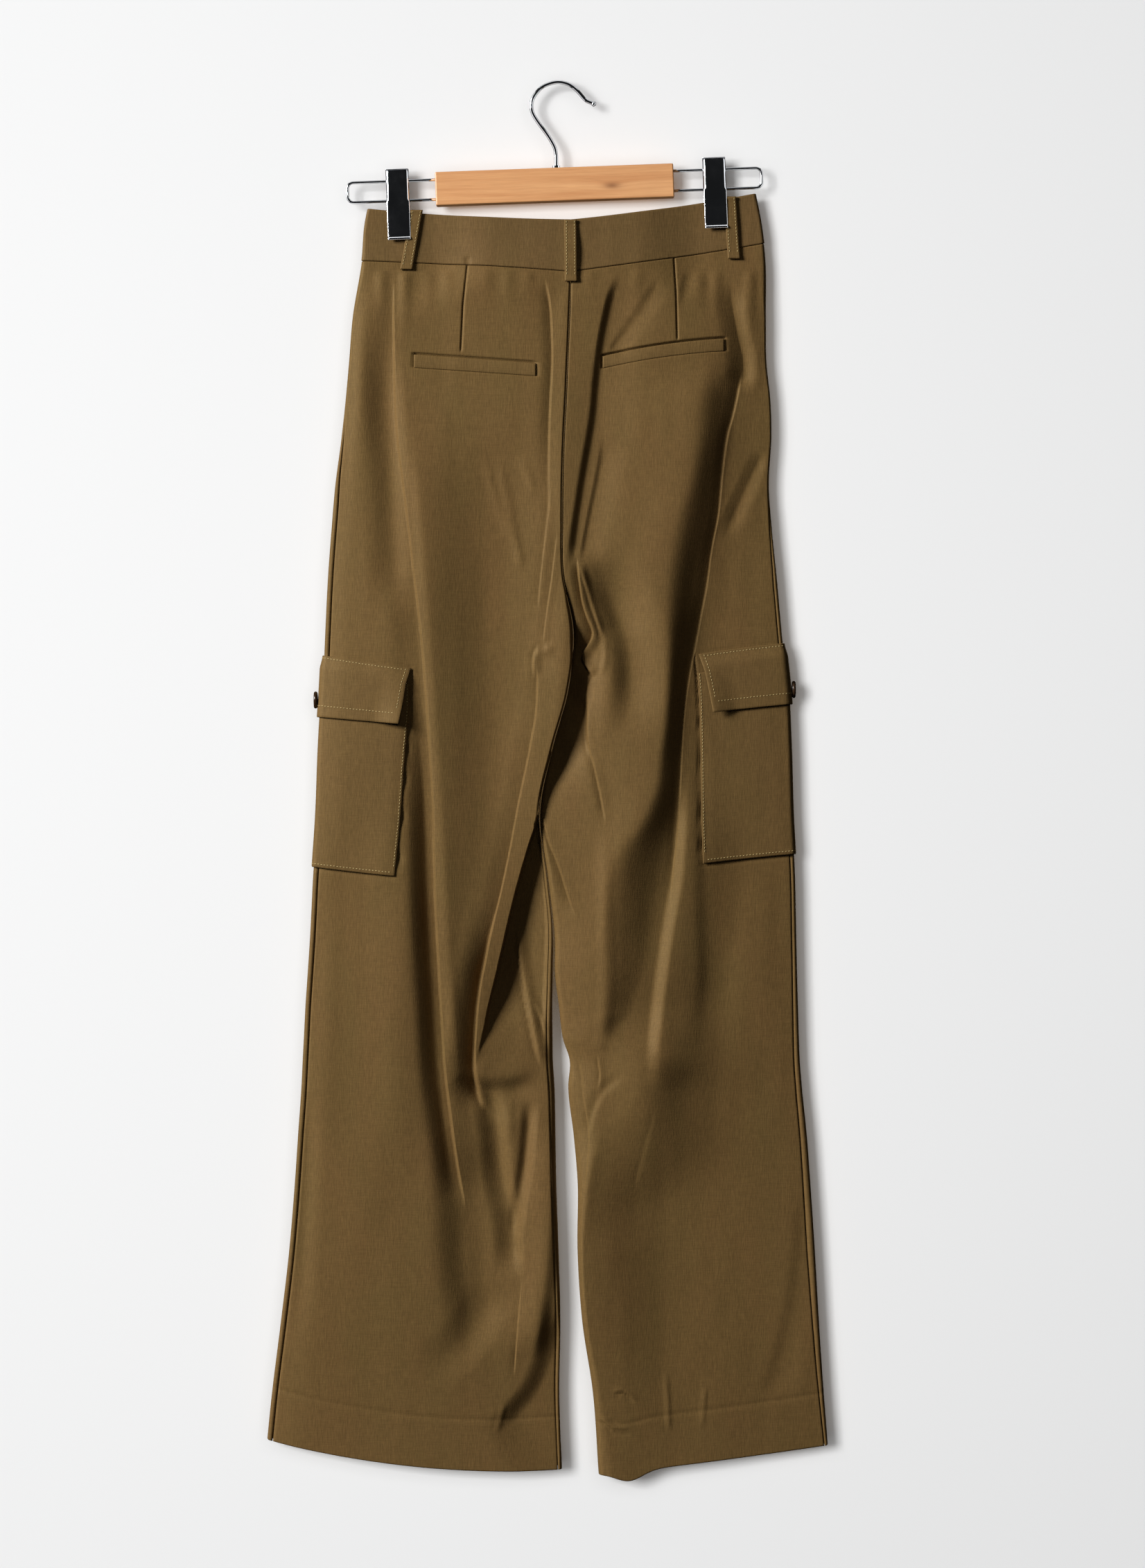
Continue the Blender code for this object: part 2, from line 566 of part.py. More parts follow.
def add_belt_loop(loop):
    """A strip bar-tacked to the band's top edge and just below the waist seam."""
    t = np.linspace(0.0, 1.0, LOOP_STEPS + 1)[:, None]
    across = np.array([-0.5, 0.0, 0.5])[None, :] * LOOP_WIDTH
    x = loop.top_x + (loop.bottom_x - loop.top_x) * t + across
    drop = loop.top_drop + (loop.bottom_drop - loop.top_drop) * t + 0.0 * across
    depth = np.where(x < read_table(OUTLINE, "left_inner", drop),
                     wall_depth("left", loop.face, x, drop), wall_depth("right", loop.face, x, drop))
    lift = BAND_PROUD + LAY_GAP + loop.lift * np.sin(math.pi * t) ** 2 + 0.0 * across
    outward = -1.0 if loop.face == "seat" else 1.0
    under = np.stack([x, outward * (depth + lift), -drop], axis=-1)
    over = under + np.array([0.0, outward * LOOP_CLOTH, 0.0])
    add_wall(loop.name, over, under, "twill_trim")


def ring_faces(rings, sides):
    """Faces between rings of equally many vertices, listed one ring after another."""
    faces = []
    for ring in range(rings - 1):
        for corner in range(sides):
            following = (corner + 1) % sides
            faces.append((ring * sides + corner, ring * sides + following,
                          (ring + 1) * sides + following, (ring + 1) * sides + corner))
    return faces


def add_button(name, centre, axis):
    """A round button with a raised rim, its back face at the centre point, facing along axis."""
    axis = np.array(axis, dtype=float)
    up = np.array([0.0, 0.0, 1.0])
    aside = np.cross(up, axis)
    profile = ((BUTTON_RADIUS - 0.8, 0.0), (BUTTON_RADIUS, 0.9), (BUTTON_RADIUS, BUTTON_THICKNESS - 0.7),
               (BUTTON_RADIUS - 0.6, BUTTON_THICKNESS),
               (BUTTON_RADIUS - BUTTON_RIM, BUTTON_THICKNESS),
               (BUTTON_RADIUS - BUTTON_RIM - 0.7, BUTTON_THICKNESS - BUTTON_DISH))
    vertices = []
    for radius, height in profile:
        for corner in range(BUTTON_SIDES):
            angle = 2 * math.pi * corner / BUTTON_SIDES
            vertices.append(np.array(centre) + axis * height
                            + radius * (math.cos(angle) * aside + math.sin(angle) * up))
    faces = ring_faces(len(profile), BUTTON_SIDES)
    faces.append(tuple(range(BUTTON_SIDES)))
    top = (len(profile) - 1) * BUTTON_SIDES
    faces.append(tuple(range(top + BUTTON_SIDES - 1, top - 1, -1)))
    return add_object(name, vertices, faces, "horn")


def add_rod(name, line, radii, sides, material, parent=None):
    """A round wire along a line of x, z points in the middle plane, with a radius at each."""
    line = np.array([(x, 0.0, z) for x, z in line], dtype=float)
    forward = unit(np.gradient(line, axis=0))
    depth_way = np.array([0.0, 1.0, 0.0])
    vertices = []
    for point, way, radius in zip(line, forward, radii):
        aside = np.cross(way, depth_way)
        for corner in range(sides):
            angle = 2 * math.pi * (corner + 0.5) / sides
            vertices.append(point + radius * (math.cos(angle) * aside + math.sin(angle) * depth_way))
    faces = ring_faces(len(line), sides)
    faces.append(tuple(range(sides)))
    faces.append(tuple(range(len(vertices) - 1, len(vertices) - sides - 1, -1)))
    return add_object(name, vertices, faces, material, parent)


def add_box(name, low, high, material, parent, edge=0.0):
    """A block between two corners; edge rounds it off with a bevel of that width."""
    corners = [(x, y, z) for z in (low[2], high[2]) for y in (low[1], high[1]) for x in (low[0], high[0])]
    faces = ((0, 1, 3, 2), (4, 6, 7, 5), (0, 4, 5, 1), (2, 3, 7, 6), (0, 2, 6, 4), (1, 5, 7, 3))
    box = add_object(name, corners, faces, material, parent)
    if edge:
        bevel = box.modifiers.new("edge", "BEVEL")
        bevel.width = edge * MM
        bevel.segments = 2
    return box


def wire_loop_line(sign):
    """Centreline of the open wire rectangle that stands out of one end of the bar."""
    start = BAR_SIZE[0] / 2 + SEAM_GAP
    half = WIRE_SPACING / 2
    line = [(sign * start, half), (sign * (start + 30.0), half)]
    for turn in range(5):
        angle = math.radians(90.0 - 22.5 * turn)
        line.append((sign * (WIRE_END - WIRE_CORNER + WIRE_CORNER * math.cos(angle)),
                     half - WIRE_CORNER + WIRE_CORNER * math.sin(angle)))
    return line + [(x, -z) for x, z in reversed(line)]


def add_clip(side, hanger):
    """A folded steel clip over the wires: a flanged seat-side jaw, and a jaw with the top web."""
    low_x, high_x = CLIP_X[side] - CLIP_WIDTH / 2, CLIP_X[side] + CLIP_WIDTH / 2
    bottom = CLIP_TOP - CLIP_HEIGHT
    wire_face = WIRE_RADIUS + FLANGE_CLEAR
    band_face = BACK_JAW_DEPTH - CLIP_STEEL / 2
    stations = ((CLIP_TOP - CLIP_STEEL - SEAM_GAP, wire_face),
                (CLIP_TOP - FLANGE_DROP, wire_face),
                (CLIP_TOP - FLANGE_DROP - FLANGE_TAPER, band_face),
                (bottom, band_face))
    vertices = []
    for z, flange in stations:
        for x, depth in ((low_x, flange), (low_x, BACK_JAW_DEPTH + CLIP_STEEL),
                         (high_x, BACK_JAW_DEPTH + CLIP_STEEL), (high_x, flange),
                         (high_x - CLIP_STEEL, flange), (high_x - CLIP_STEEL, BACK_JAW_DEPTH),
                         (low_x + CLIP_STEEL, BACK_JAW_DEPTH), (low_x + CLIP_STEEL, flange)):
            vertices.append((x, -depth, z))
    faces = ring_faces(len(stations), 8)
    for first in (0, 8 * (len(stations) - 1)):
        faces += [(first, first + 1, first + 6, first + 7),
                  (first + 1, first + 2, first + 5, first + 6),
                  (first + 2, first + 3, first + 4, first + 5)]
    add_object("clip_back_jaw_" + side, vertices, faces, "chrome", hanger, smooth_angle=30.0)

    outer = FRONT_JAW_DEPTH + CLIP_STEEL
    reach = BACK_JAW_DEPTH + CLIP_STEEL
    profile = ((-reach, CLIP_TOP), (outer, CLIP_TOP), (outer, bottom), (FRONT_JAW_DEPTH, bottom),
               (FRONT_JAW_DEPTH, CLIP_TOP - CLIP_STEEL), (-reach, CLIP_TOP - CLIP_STEEL))
    vertices = [(x, y, z) for x in (low_x, high_x) for y, z in profile]
    faces = ring_faces(2, len(profile))
    for first in (0, len(profile)):
        faces += [(first, first + 1, first + 4, first + 5), (first + 1, first + 2, first + 3, first + 4)]
    add_object("clip_front_jaw_" + side, vertices, faces, "chrome", hanger, smooth_angle=30.0)


def add_hanger():
    hanger = bpy.data.objects.new("hanger", None)
    hanger.location = (BAR_CENTRE_X * MM, 0.0, -BAR_CENTRE_DROP * MM)
    hanger.rotation_euler = (0.0, -BAR_LEAN, 0.0)
    bpy.context.collection.objects.link(hanger)
    half = [length / 2 for length in BAR_SIZE]
    add_box("hanger_bar", [-value for value in half], half, "wood", hanger, edge=BAR_EDGE)
    for side, sign in (("left", -1), ("right", 1)):
        line = wire_loop_line(sign)
        add_rod("wire_loop_" + side, line, [WIRE_RADIUS] * len(line), HOOK_SIDES, "chrome", hanger)
        add_clip(side, hanger)

    line = smooth_path(HOOK_LINE, HOOK_STEPS)
    radii = np.full(len(line), HOOK_RADIUS)
    radii[-4:] = (HOOK_RADIUS, HOOK_BALL_RADIUS, HOOK_BALL_RADIUS, HOOK_RADIUS)
    add_rod("hook", [(x, -drop) for x, drop in line], radii, HOOK_SIDES, "chrome")

    bar_top = -(BAR_CENTRE_DROP - BAR_SIZE[2] / 2 / math.cos(BAR_LEAN))
    low = bar_top + SEAM_GAP + FERRULE_RADIUS * math.tan(BAR_LEAN)
    vertices = []
    profile = ((HOOK_RADIUS + SEAM_GAP, low), (FERRULE_RADIUS, low),
               (FERRULE_RADIUS, low + FERRULE_HEIGHT), (HOOK_RADIUS + SEAM_GAP, low + FERRULE_HEIGHT))
    for radius, z in profile:
        for corner in range(12):
            angle = 2 * math.pi * corner / 12
            vertices.append((HOOK_LINE[0][0] + radius * math.cos(angle), radius * math.sin(angle), z))
    faces = ring_faces(4, 12)
    faces += [(36 + corner, 36 + (corner + 1) % 12, (corner + 1) % 12, corner) for corner in range(12)]
    add_object("hook_ferrule", vertices, faces, "chrome")


def build():
    for leftover in list(bpy.data.objects):
        bpy.data.objects.remove(leftover, do_unlink=True)
    for side in ("left", "right"):
        seat, fly, index = make_tube(side)
        seat_normals, fly_normals = tube_normals(side, seat, fly, index)
        add_panels(side, seat, fly, seat_normals, fly_normals, index)
        ring = side_ring(seat, fly)
        ring_normals = side_ring(seat_normals, fly_normals)
        add_waistband(side, ring, ring_normals, index)
        add_cargo_pocket(side, ring, ring_normals, index)
        add_welt(side, seat, seat_normals, index)
        if side == "left":
            add_fly(fly, fly_normals, index)
        outward = -1.0 if side == "left" else 1.0
        drop = FLAP_BUTTON_DROP[side]
        edge = float(read_table(OUTLINE, side + "_side", drop))
        stack = 2 * (CLOTH + LAY_GAP) + FLAP_GAP
        add_button("flap_button_" + side, (edge + outward * stack, 0.0, -drop), (outward, 0.0, 0.0))
    for loop in LOOPS:
        add_belt_loop(loop)
    x, drop = WAIST_BUTTON_X, WAIST_BUTTON_DROP
    depth = float(wall_depth("left", "fly", np.array(x), np.array(drop)))
    add_button("waist_button", (x, depth + BAND_PROUD + LAY_GAP, -drop), (0.0, 1.0, 0.0))
    add_hanger()


build()
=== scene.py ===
import math
from collections import namedtuple

import bpy
import numpy as np
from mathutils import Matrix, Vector


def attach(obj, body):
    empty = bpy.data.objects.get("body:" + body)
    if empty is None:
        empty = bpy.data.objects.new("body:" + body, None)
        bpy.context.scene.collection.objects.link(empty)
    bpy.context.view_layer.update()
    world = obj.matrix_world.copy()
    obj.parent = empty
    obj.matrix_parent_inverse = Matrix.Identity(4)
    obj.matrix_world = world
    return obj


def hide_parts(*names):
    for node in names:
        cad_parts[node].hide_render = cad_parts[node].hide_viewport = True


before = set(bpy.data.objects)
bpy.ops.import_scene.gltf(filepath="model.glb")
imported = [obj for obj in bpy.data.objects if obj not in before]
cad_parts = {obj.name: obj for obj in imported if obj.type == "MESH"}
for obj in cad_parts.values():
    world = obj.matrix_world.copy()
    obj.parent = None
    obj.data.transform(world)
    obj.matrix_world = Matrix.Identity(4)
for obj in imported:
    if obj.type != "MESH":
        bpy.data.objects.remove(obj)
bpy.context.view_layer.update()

# ----------------------------------------
# Back panels. Two lengths of olive-brown polyester twill, joined to each other at the centre back
# and to the front panels at the side seams and inseams, each with a dart under the waistband. They
# hang from the band, and the slack falls in long soft folds from the clips and from the crotch.
MM = 0.001

# Sizes are in millimetres: x to the right as the seat side is seen, drop down from the point where
# the hook bears, depth out from the middle plane. Above the crotch both inner edges are the centre
# seam.
Outline = namedtuple("Outline", "drop left_side left_inner right_inner right_side")
OUTLINE = [Outline(*row) for row in (
    (94, -161, 10, 10, 168),
    (120, -166.5, 10, 10, 173),
    (150, -169, 10, 10, 176.5),
    (200, -177, 8.5, 8.5, 177),
    (240, -180.3, 6.8, 6.8, 177.6),
    (270, -183, 5.5, 5.5, 180.8),
    (300, -186.2, 3.9, 3.9, 181.8),
    (345, -192, 2.5, 2.5, 179.5),
    (380, -195, 2.3, 2.3, 182),
    (420, -198, 3, 3, 186),
    (470, -200.5, 12, 12, 190.5),
    (520, -202.6, 7, 7, 195.2),
    (570, -205.3, -6.5, -6.5, 197.6),
    (625, -207.4, -17, -17, 199.2),
    (680, -211, -10.5, -10.5, 202),
    (730, -213.5, -5.3, -4.7, 203),
    (765, -215.8, -5.3, -4.3, 203.8),
    (790, -217.5, -5.5, -1, 204.5),
    (820, -219, -5.2, 3, 205.4),
    (835, -219.8, -5, 8, 206),
    (860, -221, -3.5, 7, 208),
    (900, -223.8, -2.7, 11.5, 212),
    (940, -226.5, -2, 15, 215),
    (1000, -231.5, 0, 15, 219),
    (1060, -238.5, 1.5, 19, 222.5),
    (1120, -246, 0.5, 28, 226.5),
    (1190, -253, 3, 33, 232),
)]
CROTCH_DROP = 470
PINCH_START_DROP = 432
CENTRE_X = 5
TOWARD_CENTRE = {"left": 1, "right": -1}

# Cross-section of a half: half thickness and radius at the fold, and how far the walls bulge out
Section = namedtuple("Section", "drop edge_depth edge_radius seat_bulge fly_bulge")
SECTIONS = (
    Section(94, 1.9, 2.4, 4.8, 6),
    Section(135, 2, 2.5, 5.8, 7),
    Section(162, 3, 4, 7.6, 7),
    Section(230, 6, 6, 11, 8),
    Section(350, 8, 8, 12, 9),
    Section(470, 8, 8, 12, 8),
    Section(600, 8, 8, 10, 7),
    Section(900, 7, 7, 8, 6),
    Section(1190, 7, 7, 8, 7),
)
SIDE_BLEND = 26
CLIP_REACH = 115           # the waist bulges only between the clips
HIP_REACH = 205
CLIP_REACH_DROP = 150
HIP_REACH_DROP = 260
REACH_BLEND = 55

# How the cloth turns in at the legs' inner edges, and how far the seams lie from the folded edges
InnerEdge = namedtuple("InnerEdge", "drop left_blend right_blend left_inset right_inset")
INNER_EDGES = (
    InnerEdge(470, 3, 4, 0, 0),
    InnerEdge(560, 3, 4, 0.5, 0),
    InnerEdge(612, 4, 4, 1.8, 0),
    InnerEdge(660, 5, 4.5, 3.5, 0),
    InnerEdge(740, 8, 4.5, 4, 0),
    InnerEdge(830, 10, 5, 5, 0),
    InnerEdge(900, 6, 5, 4.5, 0),
    InnerEdge(1190, 5, 5, 3.5, 0),
)
SIDE_INSETS = {"left": ((150, 0.3), (275, 0.4), (310, 2.5), (360, 4.6), (1190, 5)),
               "right": ((150, 0.3), (340, 0.4), (380, 2), (430, 3.5), (750, 4), (900, 6), (1000, 6.8),
                          (1100, 5), (1190, 2.5))}

# Depth of the seat side across each half below the waist: at the side fold, at three places on the
# way in, and at the inner edge. The slack lies high along the legs' ridges and low beside them.
Relief = namedtuple("Relief", "drop edge outer_x outer middle_x middle centre_x centre inner")
RELIEF = {
    "left": [Relief(*row) for row in (
        (150, 3, -150, 4.5, -120, 6, -60, 9, 9.5),
        (200, 5, -161, 8.5, -135, 9, -80, 11.5, 13),
        (240, 5.5, -166, 9.5, -137, 10.5, -78, 13, 15),
        (290, 5.5, -169, 10, -134, 12, -68, 14, 17),
        (340, 5.5, -172, 10.5, -131, 14, -62, 12, 18),
        (400, 5.5, -176, 10.5, -125, 15.5, -60, 11.5, 19),
        (450, 5.5, -178, 10.5, -121, 16, -60, 10.8, 20),
        (520, 5.5, -182, 10, -116, 15.5, -60, 10.8, 20),
        (600, 5.5, -184, 9.5, -111, 13.5, -62, 10, 18),
        (680, 5.5, -186, 9, -106, 12.5, -72, 10, 14.5),
        (760, 5.5, -190, 9.5, -102, 12.5, -84, 10.5, 10.8),
        (840, 5.5, -196, 9.5, -97, 12, -70, 11, 10),
        (940, 5.5, -200, 10, -106, 13, -66, 8.5, 12),
        (1040, 5.5, -206, 10, -106, 13, -60, 10, 11),
        (1190, 5.5, -220, 10, -90, 13, -40, 13, 11),
    )],
    "right": [Relief(*row) for row in (
        (150, 3, 157, 4.5, 128, 5.5, 90, 8, 9.5),
        (200, 5, 158, 7, 130, 9.5, 60, 12, 13),
        (240, 5, 158, 7, 124, 13, 70, 14, 15),
        (270, 5, 155, 6.3, 118, 18.5, 62, 15.3, 16),
        (300, 5, 150, 7.3, 116, 20, 58, 16.5, 17),
        (340, 5, 143, 7.5, 109, 20.5, 52, 17, 17.5),
        (380, 5, 138, 7.5, 98, 22, 50, 18, 18),
        (420, 5, 129, 7.2, 92, 22, 45, 17.5, 18),
        (450, 5, 124, 7, 90, 22, 46, 17.3, 16.5),
        (464, 5, 121, 6.9, 90, 22, 46, 17.3, 16),
        (476, 5, 118, 7.6, 90, 21.8, 44, 17.5, 10),
        (505, 5, 111, 9.6, 90, 21.4, 42, 17.5, 0.3),
        (550, 5, 107, 10.4, 88, 20.8, 40, 16.6, 0.3),
        (578, 5, 105, 10.8, 84, 21, 38, 15.8, 0.6),
        (602, 5, 103.5, 11.6, 81, 21.5, 34, 16, 7.5),
        (630, 5, 101, 10.3, 70, 22.8, 32, 17.5, 11),
        (660, 5, 97, 10.3, 51, 23.5, 34, 20, 11.5),
        (700, 5, 88, 11, 42, 22.5, 32, 20.5, 10.8),
        (725, 5, 83, 11.5, 40, 22, 30, 20, 10.3),
        (760, 5, 74, 13, 40, 21, 30, 19.5, 10),
        (795, 5, 62, 13.5, 38, 19, 28, 17.5, 9.5),
        (815, 5, 56, 14.3, 37, 17.5, 26, 16.5, 8),
        (835, 5, 110, 11.3, 60, 16.9, 34, 15.6, 7),
        (865, 5, 112, 10, 62, 16.6, 36, 16, 7),
        (900, 5, 112, 8.6, 48, 15.7, 36, 16.3, 7),
        (930, 5, 110, 7, 42, 15.5, 28, 16.5, 9),
        (965, 5, 100, 6.5, 28, 15.5, 23, 16, 12),
        (1000, 5, 96, 6.5, 26, 15.5, 21, 15.5, 12),
        (1060, 5, 94, 7, 31, 14.5, 25, 14.5, 12),
        (1120, 5, 102, 8.5, 42, 13.5, 36, 13.5, 11),
        (1190, 5, 120, 10.5, 60, 13, 46, 13.5, 11),
    )],
}
RELIEF_DROPS = (150, 205)  # the relief takes over from the flat waist between these
SEAT_EDGE_RADIUS = 1.8
DETAIL_BLEND = 9           # folds fade out this close to the side fold

